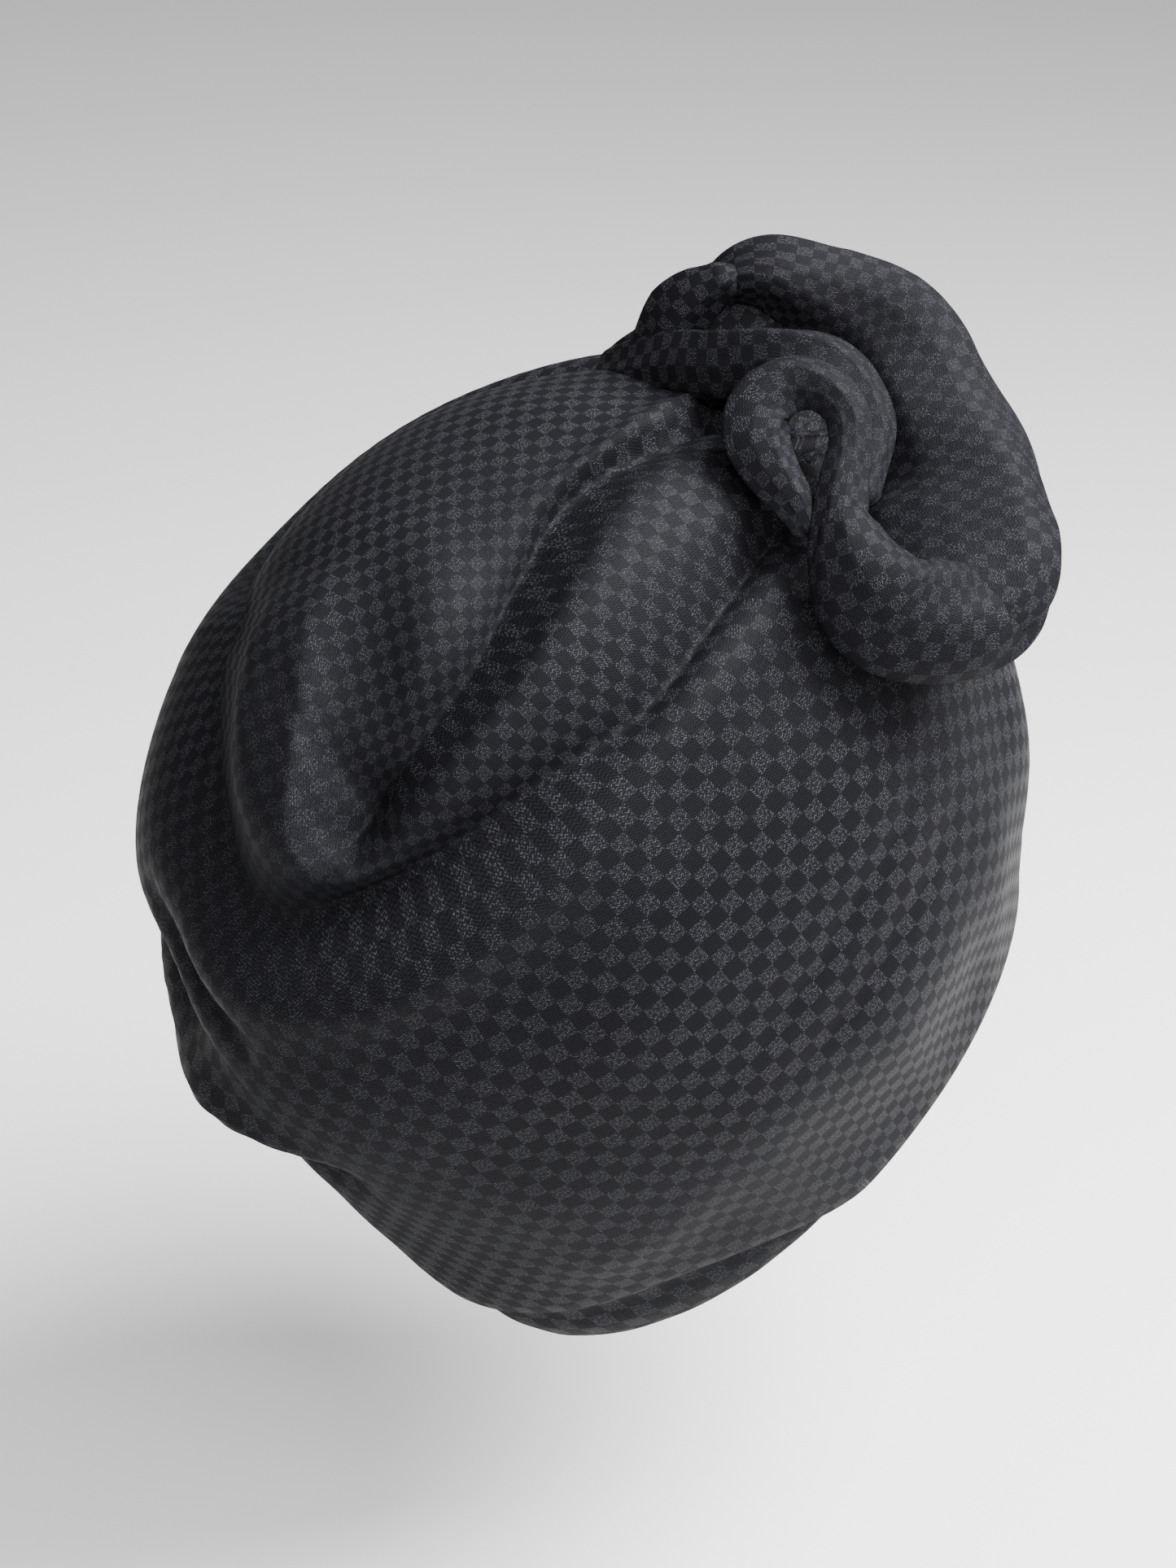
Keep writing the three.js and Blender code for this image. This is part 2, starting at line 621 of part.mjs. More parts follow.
// Oval tube through a strand's rows, its ends rounded off, grown by a length
function strand(rows, sides, grow) {
  const line = throughRows(rows, STRAND_STEPS);
  const path = line.map(([across, along, rise]) => knotPoint(across, along, rise));
  const rings = [];
  const last = path.length - 1;
  const ring = (point, ahead, width, height) => {
    const side = new THREE.Vector3().crossVectors(ahead, KNOT_AXIS).normalize();
    const top = new THREE.Vector3().crossVectors(side, ahead);
    const points = [];
    for (let k = 0; k < sides; k += 1) {
      const turn = (k / sides) * 2 * Math.PI;
      points.push(point.clone()
        .addScaledVector(side, width * Math.cos(turn))
        .addScaledVector(top, height * Math.sin(turn)));
    }
    return points;
  };
  const ahead = path.map((_, i) => {
    const span = path[Math.min(i + 1, last)].clone().sub(path[Math.max(i - 1, 0)]);
    return span.normalize();
  });
  const size = (i, key) => line[i][key] * ROLL_HALF + grow;
  const tips = [];
  for (const [i, sign] of [[0, -1], [last, 1]]) {
    const reach = Math.min(size(i, 3), size(i, 4));
    const end = path[i].clone().addScaledVector(ahead[i], sign * (reach * TIP.ring + grow));
    tips.push({
      ring: ring(end, ahead[i], size(i, 3) * TIP.ringSize, size(i, 4) * TIP.ringSize),
      point: path[i].clone().addScaledVector(ahead[i], sign * (reach * TIP.point + grow)),
    });
  }
  rings.push(tips[0].ring);
  path.forEach((point, i) => rings.push(ring(point, ahead[i], size(i, 3), size(i, 4))));
  rings.push(tips[1].ring);
  const points = [...rings.flat(), tips[0].point, tips[1].point];
  const triangles = [];
  for (let r = 0; r < rings.length - 1; r += 1) {
    for (let k = 0; k < sides; k += 1) {
      const next = (k + 1) % sides;
      triangles.push(...quad(r * sides + k, r * sides + next, (r + 1) * sides + next, (r + 1) * sides + k));
    }
  }
  const far = (rings.length - 1) * sides;
  for (let k = 0; k < sides; k += 1) {
    const next = (k + 1) % sides;
    triangles.push([points.length - 2, k, next]);
    triangles.push([points.length - 1, far + next, far + k]);
  }
  return toSolid(surface(points, triangles));
}

// Body of wound cloth in the middle of the knot, which the strands lie on
function knotCore() {
  let core = null;
  for (const [across, along, rise, halfAcross, halfAlong, halfRise] of CORE_LOBES) {
    const ball = new THREE.SphereGeometry(KNOT_REACH, LOBE_SIDES, LOBE_ROWS);
    ball.deleteAttribute("normal");
    ball.deleteAttribute("uv");
    ball.scale(halfAcross, halfAlong, halfRise);
    ball.applyMatrix4(new THREE.Matrix4().makeBasis(KNOT_ACROSS, KNOT_ALONG, KNOT_AXIS));
    const centre = knotPoint(across, along, rise);
    ball.translate(centre.x, centre.y, centre.z);
    const lobe = toSolid(mergeVertices(ball));
    core = core ? core.add(lobe) : lobe;
  }
  return core;
}

// Each strand lies on the wrap and is cut clear of the strands laid before it, the core of them all
function buildKnot() {
  const pieces = {};
  const wrap = wrapCutter();
  let laid = null;
  for (const [name, rows, sides] of STRANDS) {
    const body = strand(rows, sides, 0);
    const resting = body.subtract(wrap);
    pieces[name] = fromSolid(laid ? resting.subtract(laid) : resting);
    const grown = strand(rows, sides, CLEAR).add(body);
    laid = laid ? laid.add(grown) : grown;
  }
  pieces.knot_core = fromSolid(knotCore().subtract(wrap).subtract(laid));
  return pieces;
}

const group = new THREE.Group();
group.name = "turban";

function addPiece(name, geometry, colour) {
  const material = new THREE.MeshStandardMaterial({ color: colour, roughness: 0.6, metalness: 0 });
  material.name = name;
  const mesh = new THREE.Mesh(geometry, material);
  mesh.name = name;
  group.add(mesh);
}

addPiece("crown_wrap", buildWrap(), CLOTH);
addPiece("nape_band", buildBand(), CLOTH_DARK);
for (const [name, geometry] of Object.entries(buildKnot())) {
  addPiece(name, geometry, name === "knot_core" ? CLOTH_DARK : CLOTH);
}

export default group;
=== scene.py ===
"""A soft wound turban of black satin jacquard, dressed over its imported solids.

The wearer faces -Y and +Z is up. Lengths in the tables are shares of named sizes in millimetres, and
every mesh is written in metres. The origin is the middle of the head opening.
"""
import math

import bpy
import numpy as np
from mathutils import Matrix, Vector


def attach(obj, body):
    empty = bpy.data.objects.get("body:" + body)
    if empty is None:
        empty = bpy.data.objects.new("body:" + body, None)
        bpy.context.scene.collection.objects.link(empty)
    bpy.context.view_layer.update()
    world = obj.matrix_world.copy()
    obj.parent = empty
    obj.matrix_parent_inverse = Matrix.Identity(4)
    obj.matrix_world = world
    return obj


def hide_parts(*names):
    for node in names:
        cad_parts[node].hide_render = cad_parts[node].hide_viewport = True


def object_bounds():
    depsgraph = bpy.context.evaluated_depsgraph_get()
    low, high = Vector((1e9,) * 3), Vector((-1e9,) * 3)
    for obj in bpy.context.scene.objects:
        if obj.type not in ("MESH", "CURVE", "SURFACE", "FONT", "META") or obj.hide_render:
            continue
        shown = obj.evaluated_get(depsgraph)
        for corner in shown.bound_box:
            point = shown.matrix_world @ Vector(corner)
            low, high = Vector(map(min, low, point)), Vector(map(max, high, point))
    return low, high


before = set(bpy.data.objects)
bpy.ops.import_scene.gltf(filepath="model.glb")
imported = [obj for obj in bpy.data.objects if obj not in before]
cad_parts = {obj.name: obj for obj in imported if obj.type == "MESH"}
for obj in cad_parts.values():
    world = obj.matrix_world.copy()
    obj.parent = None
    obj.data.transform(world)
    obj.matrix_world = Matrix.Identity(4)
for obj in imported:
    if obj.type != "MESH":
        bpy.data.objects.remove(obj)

CAD_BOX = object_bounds()
MM = 0.001
RAD = math.pi / 180

# Head opening and crown: the solids' sizes, but CROWN_TOP, FOLD_DEPTH and NAPE_GAP are a little more
HEM_HALF_WIDTH = 74
HEM_HALF_LENGTH = 109
HEM_TILT = 36
MIDDLE_RISE = 123
MIDDLE_FORWARD = 10
CROWN_FRONT = 136
CROWN_BACK = 124
CROWN_SIDE = 103
CROWN_TOP = 111
CROWN_UNDER = 240
NECK_START = 0.76
WALL = 2.2
FOLD_DEPTH = 14
FOLD_WIDTH = 18
NAPE_GAP = 25
NAPE_SPREAD = 78
KNOT_REACH = 75
ROLL_HALF = 22

# Nape band: its grid, and its upper and lower edge measured from the hem
BAND_LINES = 240
BAND_ROWS = 24
BAND_HEIGHT = 32
BAND_DROP = 2
BAND_WALL = 1.8
BAND_CLEAR = 0.9
# Where it is bare it stands out up to the first share of the gap, and is in from the second and a run more
BAND_OUT = (0.15, 0.6)
BAND_CLEAR_RUN = 1
# Ripples: height, how many go round, and how fast they slant with the height
BAND_RIPPLE = 0.35
BAND_RIPPLES = 31
BAND_SLANT = 0.11

# Check: side of a square on the crown and on the knot, steps that measure the cloth up a meridian
SQUARE = 5.4
KNOT_SQUARE = 3.3
UP_STEPS = 16
# How the check lies flat: millimetres to a radian of the chart, and its turn in degrees
DOME_REACH = 152
DOME_TURN = 9
FLAP_TURN = -2
# The flap's check ends below at the side valley, over so many of its rows from the knot
UNDER_FLAP_ROWS = 7

UP = np.array([0, math.sin(HEM_TILT * RAD), math.cos(HEM_TILT * RAD)])
FRONT = np.array([0, -math.cos(HEM_TILT * RAD), math.sin(HEM_TILT * RAD)])
RIGHT = np.array([-1.0, 0, 0])
MIDDLE = UP * MIDDLE_RISE + FRONT * MIDDLE_FORWARD
KNOT_POLE = (27, 26)

# Grid of the wrap: lines out from the knot, rows from the knot to the edge, and where both stand closer
WRAP_LINES = 250
WRAP_ROWS = 150
FOLDED_LINES = (174, 46, 3.6)
FOLDED_ROWS = (0.4, 0.24, 2.0)
FINE_PLACES = 2001
# Steps from one row of a fold to the next, step of the normal's differences, share where the edge calms
FOLD_STEPS = 8
NORMAL_STEP = 0.004
CALM_EDGE = 0.93

# Folds of the wrap. A row holds azimuth, elevation, depth, left width, right width, lean.
# The power squares off a fold's section or sharpens it.
FOLDS = {
    "valley beside the flap": (1.3, [
        (16, 36, -0.5, 0.33, 0.28, 0),
        (36, 53, -0.8, 0.2, 0.5, 0.8),
        (61, 58, -0.85, 0.2, 0.55, 0.8),
        (90, 57, -0.78, 0.2, 0.6, 0.7),
        (117, 52, -0.85, 0.22, 0.8, 0.6),
        (130, 48.5, -1.05, 0.26, 0.9, 0.4),
        (137, 47, -0.65, 0.33, 0.55, 0.2),
        (140, 46, 0, 0.33, 0.45, 0),
    ]),
    "folded edge of the flap": (1.8, [
        (28, 42, 0, 0.4, 0.2, 0),
        (38, 49.5, 0.26, 0.55, 0.17, 0),
        (62, 54, 0.32, 0.55, 0.17, 0),
        (90, 53, 0.3, 0.5, 0.17, 0),
        (116, 48.7, 0.22, 0.4, 0.17, 0),
        (128, 46, 0, 0.3, 0.2, 0),
    ]),
    "flap": (2.4, [
        (30, 36, 0.3, 1, 1, 0),
        (57, 46, 0.5, 1, 1, 0),
        (86, 48, 0.57, 0.95, 0.95, 0),
        (108, 47.5, 0.57, 0.72, 0.72, 0),
        (126, 44.5, 0.35, 0.55, 0.55, 0),
        (136, 43, 0.2, 0.45, 0.45, 0),
        (141, 42, 0, 0.45, 0.45, 0),
    ]),
    "valley round the side panel": (1.25, [
        (36, 24, -0.45, 0.28, 0.28, 0),
        (37, 32, -0.65, 0.4, 0.28, -0.4),
        (53, 38, -0.7, 0.33, 0.5, -0.5),
        (74, 41, -0.8, 0.33, 0.65, -0.4),
        (93, 41, -0.93, 0.4, 0.83, 0.2),
        (113, 39, -1, 0.4, 0.83, 0.5),
        (130, 37, -1, 0.4, 0.67, 0.6),
        (145, 37, -1, 0.5, 0.67, 0.4),
        (156, 37, -0.93, 0.72, 0.78, 0.2),
        (166, 41, -0.86, 0.95, 0.89, 0),
        (178, 50, -0.86, 0.95, 0.83, 0),
        (190, 58, -0.64, 0.89, 0.83, 0),
        (207, 65, -0.4, 0.78, 0.78, 0),
        (222, 70, -0.35, 0.6, 0.7, 0),
        (250, 66, -0.35, 0.45, 0.7, -0.2),
        (285, 58, -0.4, 0.35, 0.7, -0.4),
        (320, 50, -0.4, 0.3, 0.6, -0.4),
        (345, 41, -0.35, 0.3, 0.5, -0.2),
        (356, 36, 0, 0.3, 0.4, 0),
    ]),
    "seamed ridge in the pocket": (1.5, [
        (100, 88, 0, 0.45, 0.45, 0),
        (139, 79, 0.29, 0.45, 0.55, 0),
        (143, 67, 0.5, 0.4, 0.55, 0.3),
        (146, 57, 0.57, 0.33, 0.5, 0.4),
        (147, 49, 0.5, 0.28, 0.45, 0.3),
        (144, 43.5, 0.43, 0.28, 0.33, 0.2),
        (137, 41.5, 0.2, 0.28, 0.28, 0),
        (128, 43, 0, 0.28, 0.28, 0),
    ]),
    "broad swell behind the ridge": (2.0, [
        (210, 84, 0, 0.78, 0.55, 0),
        (175, 75, 0.29, 0.78, 0.55, 0),
        (165, 66, 0.43, 0.67, 0.55, 0),
        (158, 56, 0.43, 0.55, 0.55, 0),
        (153, 46, 0.2, 0.45, 0.45, 0),
        (151, 40, 0, 0.45, 0.45, 0),
    ]),
    "ripple over the top": (2.0, [
        (20, 78, 0, 0.67, 0.67, 0),
        (74, 72, 0.25, 0.67, 0.67, 0),
        (100, 64, 0.29, 0.6, 0.5, 0),
        (114, 56, 0.14, 0.5, 0.45, 0),
        (122, 50, 0, 0.45, 0.45, 0),
    ]),
    "thin roll out of the knot": (1.6, [
        (10, 36, 0.2, 0.28, 0.22, 0),
        (20, 47, 0.43, 0.33, 0.28, 0),
        (30, 55, 0.36, 0.39, 0.33, 0),
        (43, 62, 0.2, 0.5, 0.45, 0),
        (60, 69, 0, 0.5, 0.45, 0),
    ]),
    "roll along the side panel": (2.0, [
        (42, 24, 0.14, 0.5, 0.67, 0),
        (58, 32, 0.29, 0.5, 0.78, 0),
        (90, 34, 0.36, 0.45, 0.89, 0),
        (115, 31, 0.43, 0.45, 1, 0),
        (140, 28, 0.43, 0.5, 1, 0),
        (165, 30, 0.36, 0.67, 1, 0),
        (182, 36, 0, 0.78, 1, 0),
    ]),
    "crease at the back": (1.3, [
        (190, 32, -0.3, 0.4, 0.4, 0),
        (180, 28, -0.55, 0.4, 0.4, 0),
        (170, 25, -0.43, 0.28, 0.33, 0.3),
        (166, 22, -0.25, 0.28, 0.33, 0.3),
        (165, 15, 0, 0.33, 0.33, 0),
    ]),
    "gathered bulge at the back": (2.0, [
        (206, 14, 0, 0.4, 0.4, 0),
        (192, 9, 0.3, 0.42, 0.4, 0),
        (181, 7, 0.5, 0.42, 0.4, 0),
        (171, 3, 0.3, 0.42, 0.4, 0),
        (161, -1, 0, 0.4, 0.4, 0),
    ]),
    "notch over the gather": (1.6, [
        (216, 24, 0, 0.5, 0.5, 0),
        (203, 22, -0.6, 0.5, 0.55, 0),
        (190, 19, -1.2, 0.55, 0.6, 0),
        (178, 17, -0.4, 0.4, 0.5, 0),
        (167, 12, 0, 0.3, 0.4, 0),
    ]),
    "tuck below the gather": (1.8, [
        (205, -3, 0, 0.5, 0.5, 0),
        (188, -3, -0.5, 0.6, 0.5, 0),
        (174, -5, -0.6, 0.6, 0.5, 0),
        (160, -10, 0, 0.5, 0.5, 0),
    ]),
    "puff over the nape band": (2.0, [
        (112, -28, 0, 0.6, 0.6, 0),
        (135, -34, 0.12, 0.7, 0.8, 0),
        (160, -33, 0, 0.7, 0.9, 0),
        (185, -32, -0.1, 0.7, 0.9, 0),
        (210, -33, 0, 0.7, 0.9, 0),
        (240, -28, 0, 0.6, 0.6, 0),
    ]),
    "upper wrinkle over the hem": (1.5, [
        (44, -1, 0, 0.2, 0.2, 0),
        (62, -5, -0.06, 0.16, 0.2, 0),
        (76, -8, -0.09, 0.16, 0.22, 0),
        (91, -11, -0.07, 0.16, 0.2, 0),
        (110, -13, 0, 0.2, 0.2, 0),
    ]),
    "lower wrinkle over the hem": (1.5, [
        (48, -12, 0, 0.2, 0.2, 0),
        (62, -16, -0.05, 0.16, 0.2, 0),
        (80, -20, -0.08, 0.16, 0.2, 0),
        (104, -22, 0, 0.2, 0.2, 0),
    ]),
    "lower pleat on the left": (1.6, [
        (-12, 8, 0, 0.3, 0.5, 0),
        (-38, 12, 0.25, 0.3, 0.8, 0.3),
        (-80, 8, 0.36, 0.3, 0.9, 0.3),
        (-120, 6, 0.3, 0.35, 0.9, 0.2),
        (-148, 8, 0.15, 0.45, 0.8, 0),
        (-165, 12, 0, 0.5, 0.7, 0),
    ]),
}
# Swells of the crown: height in millimetres, waves forward and sideways in the chart, start
CROWN_WAVES = [(0.5, 5.1, 2.3, 0.4), (0.4, -3.2, 6.1, 1.9), (0.25, 9.7, -4.9, 2.6), (0.2, 4.2, 11.3, 0.7)]
# Pleats out of the knot: count, height in millimetres, start. Their reach and their start are in degrees.
GATHER_WAVES = [(13, 0.5, 0.6), (23, 0.25, 2.1)]
GATHER_REACH = 34
GATHER_START = (2, 12)

# Knot: its seat and directions, the same as the solids
KNOT_SEAT = (29.5, 20.5)
KNOT_AXIS = np.array([-0.31, -0.52, 0.79]) / np.linalg.norm([-0.31, -0.52, 0.79])
KNOT_ACROSS = np.array([-0.661, -0.481, -0.576]) / np.linalg.norm([-0.661, -0.481, -0.576])
KNOT_ALONG = np.cross(KNOT_AXIS, KNOT_ACROSS)

# Strands. A row holds across, along and rise as shares of the knot's reach, then half width across
# the knot's face and half depth as shares of the widest roll.
UPPER_ROLL = [
    (-0.80, 0.30, 0.14, 0.23, 0.23),
    (-0.84, 0.22, 0.27, 0.30, 0.30),
    (-0.76, 0.22, 0.38, 0.45, 0.40),
    (-0.58, 0.30, 0.43, 0.64, 0.48),
    (-0.38, 0.36, 0.46, 0.78, 0.55),
    (-0.18, 0.34, 0.44, 0.86, 0.60),
    (0.03, 0.26, 0.36, 0.91, 0.64),
    (0.22, 0.14, 0.27, 1.02, 0.61),
    (0.34, 0.00, 0.18, 1.11, 0.62),
    (0.44, -0.14, 0.10, 1.04, 0.56),
    (0.50, -0.24, 0.03, 0.84, 0.42),
    (0.54, -0.30, -0.03, 0.47, 0.23),
]
LOWER_ROLL = [
    (0.53, 0.04, 0.28, 0.29, 0.26),
    (0.58, -0.10, 0.18, 0.47, 0.35),
    (0.57, -0.24, 0.08, 0.60, 0.39),
    (0.47, -0.36, -0.01, 0.69, 0.43),
    (0.32, -0.44, -0.06, 0.74, 0.44),
    (0.16, -0.48, -0.03, 0.64, 0.41),
    (0.03, -0.47, 0.04, 0.42, 0.31),
    (-0.04, -0.43, 0.10, 0.22, 0.18),
]
INNER_TWIST = [
    (0.21, -0.50, -0.12, 0.37, 0.29),
    (0.09, -0.50, -0.05, 0.35, 0.29),
    (0.00, -0.46, 0.04, 0.31, 0.28),
    (-0.08, -0.39, 0.14, 0.27, 0.27),
    (-0.14, -0.33, 0.23, 0.24, 0.26),
    (-0.23, -0.28, 0.31, 0.25, 0.28),
    (-0.35, -0.25, 0.31, 0.29, 0.28),
    (-0.44, -0.25, 0.24, 0.37, 0.29),
    (-0.46, -0.30, 0.13, 0.43, 0.29),
    (-0.40, -0.35, 0.05, 0.42, 0.27),
    (-0.29, -0.39, 0.01, 0.34, 0.22),
    (-0.16, -0.43, -0.01, 0.24, 0.17),
    (-0.05, -0.45, -0.05, 0.15, 0.13),
]
TOP_BAND = [
    (-1.01, 0.34, -0.31, 0.20, 0.20),
    (-0.93, 0.26, -0.23, 0.34, 0.30),
    (-0.79, 0.14, -0.07, 0.47, 0.35),
    (-0.65, 0.02, 0.07, 0.50, 0.35),
    (-0.53, -0.05, 0.22, 0.44, 0.32),
    (-0.41, -0.08, 0.33, 0.38, 0.30),
    (-0.29, -0.09, 0.35, 0.33, 0.29),
    (-0.15, -0.14, 0.29, 0.33, 0.27),
    (-0.07, -0.24, 0.19, 0.30, 0.24),
    (0.01, -0.34, 0.10, 0.22, 0.18),
]
SIDE_LOBE = [
    (-0.88, 0.20, -0.14, 0.22, 0.22),
    (-0.90, 0.20, -0.06, 0.29, 0.26),
    (-0.91, 0.18, 0.06, 0.37, 0.30),
    (-0.90, 0.16, 0.16, 0.35, 0.28),
    (-0.87, 0.14, 0.26, 0.25, 0.23),
    (-0.84, 0.12, 0.34, 0.17, 0.17),
]
SIDE_CURL = [
    (-0.98, 0.38, -0.33, 0.12, 0.12),
    (-0.98, 0.36, -0.24, 0.18, 0.18),
    (-0.96, 0.34, -0.16, 0.20, 0.20),
    (-0.93, 0.32, -0.07, 0.18, 0.18),
    (-0.89, 0.30, -0.02, 0.14, 0.14),
]
# Pleats of a strand: waves round half the section, turns to a roll's half width, depth, start
ROLL_PLEATS = [(5, 0.22, 0.07, 0.4), (8, -0.3, 0.04, 1.7)]
TWIST_PLEATS = [(4, 0.35, 0.13, 0.2), (7, 0.25, 0.07, 1.1)]
# Slow swells of a strand: waves round it, waves to a roll's half width along it, height, start
SWELLS = [(2, 1.3, 0.05, 0.5), (3, -2.1, 0.04, 2.0), (1, 3.6, 0.022, 4.1), (4, 0.9, 0.025, 1.2)]
STRANDS = {
    "knot_outer_roll": [(UPPER_ROLL, ROLL_PLEATS), (LOWER_ROLL, ROLL_PLEATS)],
    "knot_inner_twist": [(INNER_TWIST, TWIST_PLEATS)],
    "knot_top_band": [(TOP_BAND, TWIST_PLEATS)],
    "knot_side_loop": [(SIDE_LOBE, TWIST_PLEATS), (SIDE_CURL, TWIST_PLEATS)],
}
# Strand's grid: steps between two rows, sides round it, and how thin its tips get
STRAND_STEPS = 16
STRAND_SIDES = 80
STRAND_TIP = 0.04
# Lobes of the core: middle across, along and rise, half across, half along, height, all shares of the reach
CORE_LOBES = np.array([
    (-0.2, 0.22, -0.1, 0.56, 0.3, 0.24),
    (-0.52, 0.36, 0.02, 0.34, 0.26, 0.24),
    (-0.72, 0.36, 0.14, 0.26, 0.2, 0.3),
    (0.1, 0.3, -0.06, 0.36, 0.3, 0.24),
])
CORE_SIDES = 120
CORE_RINGS = 34
# Rise of the core's rim and of its flat base, and the base's outline as a share of the rim's
CORE_FLOOR = -0.3
CORE_BASE = -0.34
CORE_TUCK = 0.98
# Pleats of the core: waves round it, their turn from middle to rim, depth, and the shares they deepen over
CORE_PLEATS = (7, 3.5, 0.03)
CORE_PLEAT_START = (0.1, 0.5)
# How far the check runs on across and up the knot for each millimetre along it
CORE_GRAIN = (0.4, -0.9)

# Colours of the weave
DARK_SQUARE = (0.0042, 0.0042, 0.0052, 1)
LIGHT_SQUARE = (0.0066, 0.0068, 0.0086, 1)
FLECK = (0.077, 0.078, 0.088, 1)
WAVY_THREAD = (0.0125, 0.0127, 0.0152, 1)
BLACK = (0.0, 0.0, 0.0, 1)
FLECK_SHARE = 0.6
WAVY_SHARE = 0.5

# Stray of the threads: scale of its noise, and how much of a square it may be
STRAY_SCALE = 260.0
STRAY_SHARE = 0.10
# Light squares: zigzags and threads to a square, and how many threads a zigzag spans on its way out and back
ZIGZAGS = 3.0
ZIGZAG_THREADS = 7.0
ZIGZAG_SWING = 1.6
# Dark squares: radians of the wave to a square, its swing in threads, and threads to a square
WAVE_TURN = 12.0
WAVE_SWING = 0.35
WAVY_THREADS = 6.5

# Scale and share of the noise where the check fades, and of the noise that darkens the cloth
FADED_SCALE = 9.0
FADED_SHARE = 0.6
PATCH_SCALE = 22.0
PATCH_SHARE = 0.35

# Sheen: roughness of the dark squares, less on the light ones, more between flecks, and the relief
ROUGH_DARK = 0.52
ROUGH_DROP = 0.10
ROUGH_BETWEEN = 0.05
BUMP_STRENGTH = 0.45
BUMP_HEIGHT = 0.00035
GLOSS = 0.02

# Camera: the photograph is 1445 by 1927, and at the aim 4 of its pixels are one millimetre
PHOTO_SIZE = (1445, 1927)
HEM_IN_PHOTO = (905, 1283)
PIXELS_PER_MM = 4.0
CAMERA_AZIMUTH = 58
CAMERA_RISE = 28
CAMERA_DISTANCE = 900
CAMERA_FAR = 20
SENSOR = 36.0

# Floor, in metres, and lamps: millimetres to the camera's right, up and towards it, then size and power
FLOOR_DROP = 0.09
FLOOR_HALF = 6
FLOOR_TONE = 0.8
FLOOR_ROUGHNESS = 0.9
ROOM_LIGHT = 0.5
LAMPS = {
    "key": (560, 680, 540, 0.7, 62),
    "fill": (-700, 500, 600, 1.2, 3),
    "front": (300, 250, 1150, 1.0, 21),
}


def unit(v):
    """Each vector over its own length."""
    return v / np.linalg.norm(v, axis=-1, keepdims=True)


def smoothstep(x, low, high):
    """0 up to low and 1 from high, between them 3 t ^ 2 - 2 t ^ 3 of the share t of the way."""
    t = np.clip((x - low) / (high - low), 0, 1)
    return t * t * (3 - 2 * t)


def direction(azimuth, elevation):
    """Unit way out of the crown's middle: azimuth from the front to the wearer's right, elevation up."""
    a, e = np.asarray(azimuth) * RAD, np.asarray(elevation) * RAD
    flat = np.cos(e)
    return ((flat * np.cos(a))[..., None] * FRONT + (flat * np.sin(a))[..., None] * RIGHT
            + np.sin(e)[..., None] * UP)


def azimuth_of(way):
    """Angle round the crown's upright axis, from the front towards the wearer's right."""
    return np.arctan2(way @ RIGHT, way @ FRONT)


def polar_of(way):
    """Angle down from the crown's upright axis."""
    return np.arccos(np.clip(way @ UP, -1, 1))


def body_reach(way):
    """Reach of the rounded body: 1 over the length of (forward, right, up) each shared by its half size."""
    forward, right, up = way @ FRONT, way @ RIGHT, way @ UP
    length = forward / np.where(forward > 0, CROWN_FRONT, CROWN_BACK)
    height = up / np.where(up > 0, CROWN_TOP, CROWN_UNDER)
    return 1 / np.sqrt(length ** 2 + (right / CROWN_SIDE) ** 2 + height ** 2)


def hem_from_middle(azimuth):
    """Way, distance and polar angle of the hem's ellipse as seen from the crown's middle."""
    reach = 1 / np.hypot(np.cos(azimuth) / HEM_HALF_LENGTH, np.sin(azimuth) / HEM_HALF_WIDTH)
    offset = ((reach * np.cos(azimuth))[..., None] * FRONT + (reach * np.sin(azimuth))[..., None] * RIGHT
              - MIDDLE)
    distance = np.linalg.norm(offset, axis=-1)
    way = offset / distance[..., None]
    return way, distance, polar_of(way)


def crown_point(way):
    """Rounded body, drawn in to the hem by a smooth step over the last part of the polar angle."""
    hem_way, distance, polar = hem_from_middle(azimuth_of(way))
    draw_in = distance / body_reach(hem_way) - 1
    share = smoothstep(polar_of(way) / polar, NECK_START, 1)
    return MIDDLE + (body_reach(way) * (1 + draw_in * share))[..., None] * way


def crown_normal(way):
    """Cross product of the crown's central differences along two ways square to the way out."""
    aside = np.where(np.abs(way[..., :1]) < 0.8, [1.0, 0, 0], [0, 1.0, 0])
    first = unit(np.cross(way, aside))
    second = np.cross(way, first)
    one = crown_point(unit(way + NORMAL_STEP * first)) - crown_point(unit(way - NORMAL_STEP * first))
    two = crown_point(unit(way + NORMAL_STEP * second)) - crown_point(unit(way - NORMAL_STEP * second))
    normal = unit(np.cross(one, two))
    return normal * np.sign((normal * way).sum(-1, keepdims=True))


def through_rows(rows, steps):
    """Catmull-Rom curve through rows of numbers, with so many steps from one row to the next."""
    rows = np.asarray(rows, float)
    every = np.vstack([2 * rows[0] - rows[1], rows, 2 * rows[-1] - rows[-2]])
    t = np.linspace(0, 1, steps, endpoint=False)[None, :, None]
    a, b, c, d = (every[i:len(every) - 3 + i, None, :] for i in range(4))
    spans = 0.5 * (2 * b + (c - a) * t + (2 * a - 5 * b + 4 * c - d) * t ** 2
                   + (3 * b - a - 3 * c + d) * t ** 3)
    return np.vstack([spans.reshape(-1, rows.shape[1]), rows[-1:]])


def closer_places(count, span, middle, spread, closer):
    """Places from 0 to span, where their density is 1, rising to closer in a bell about the middle."""
    fine = np.linspace(0, span, FINE_PLACES)
    density = 1 + (closer - 1) * np.exp(-((fine - middle) / spread) ** 2)
    total = np.concatenate([[0], np.cumsum((density[1:] + density[:-1]) / 2)])
    return np.interp(np.linspace(0, total[-1], count + 1), total, fine)


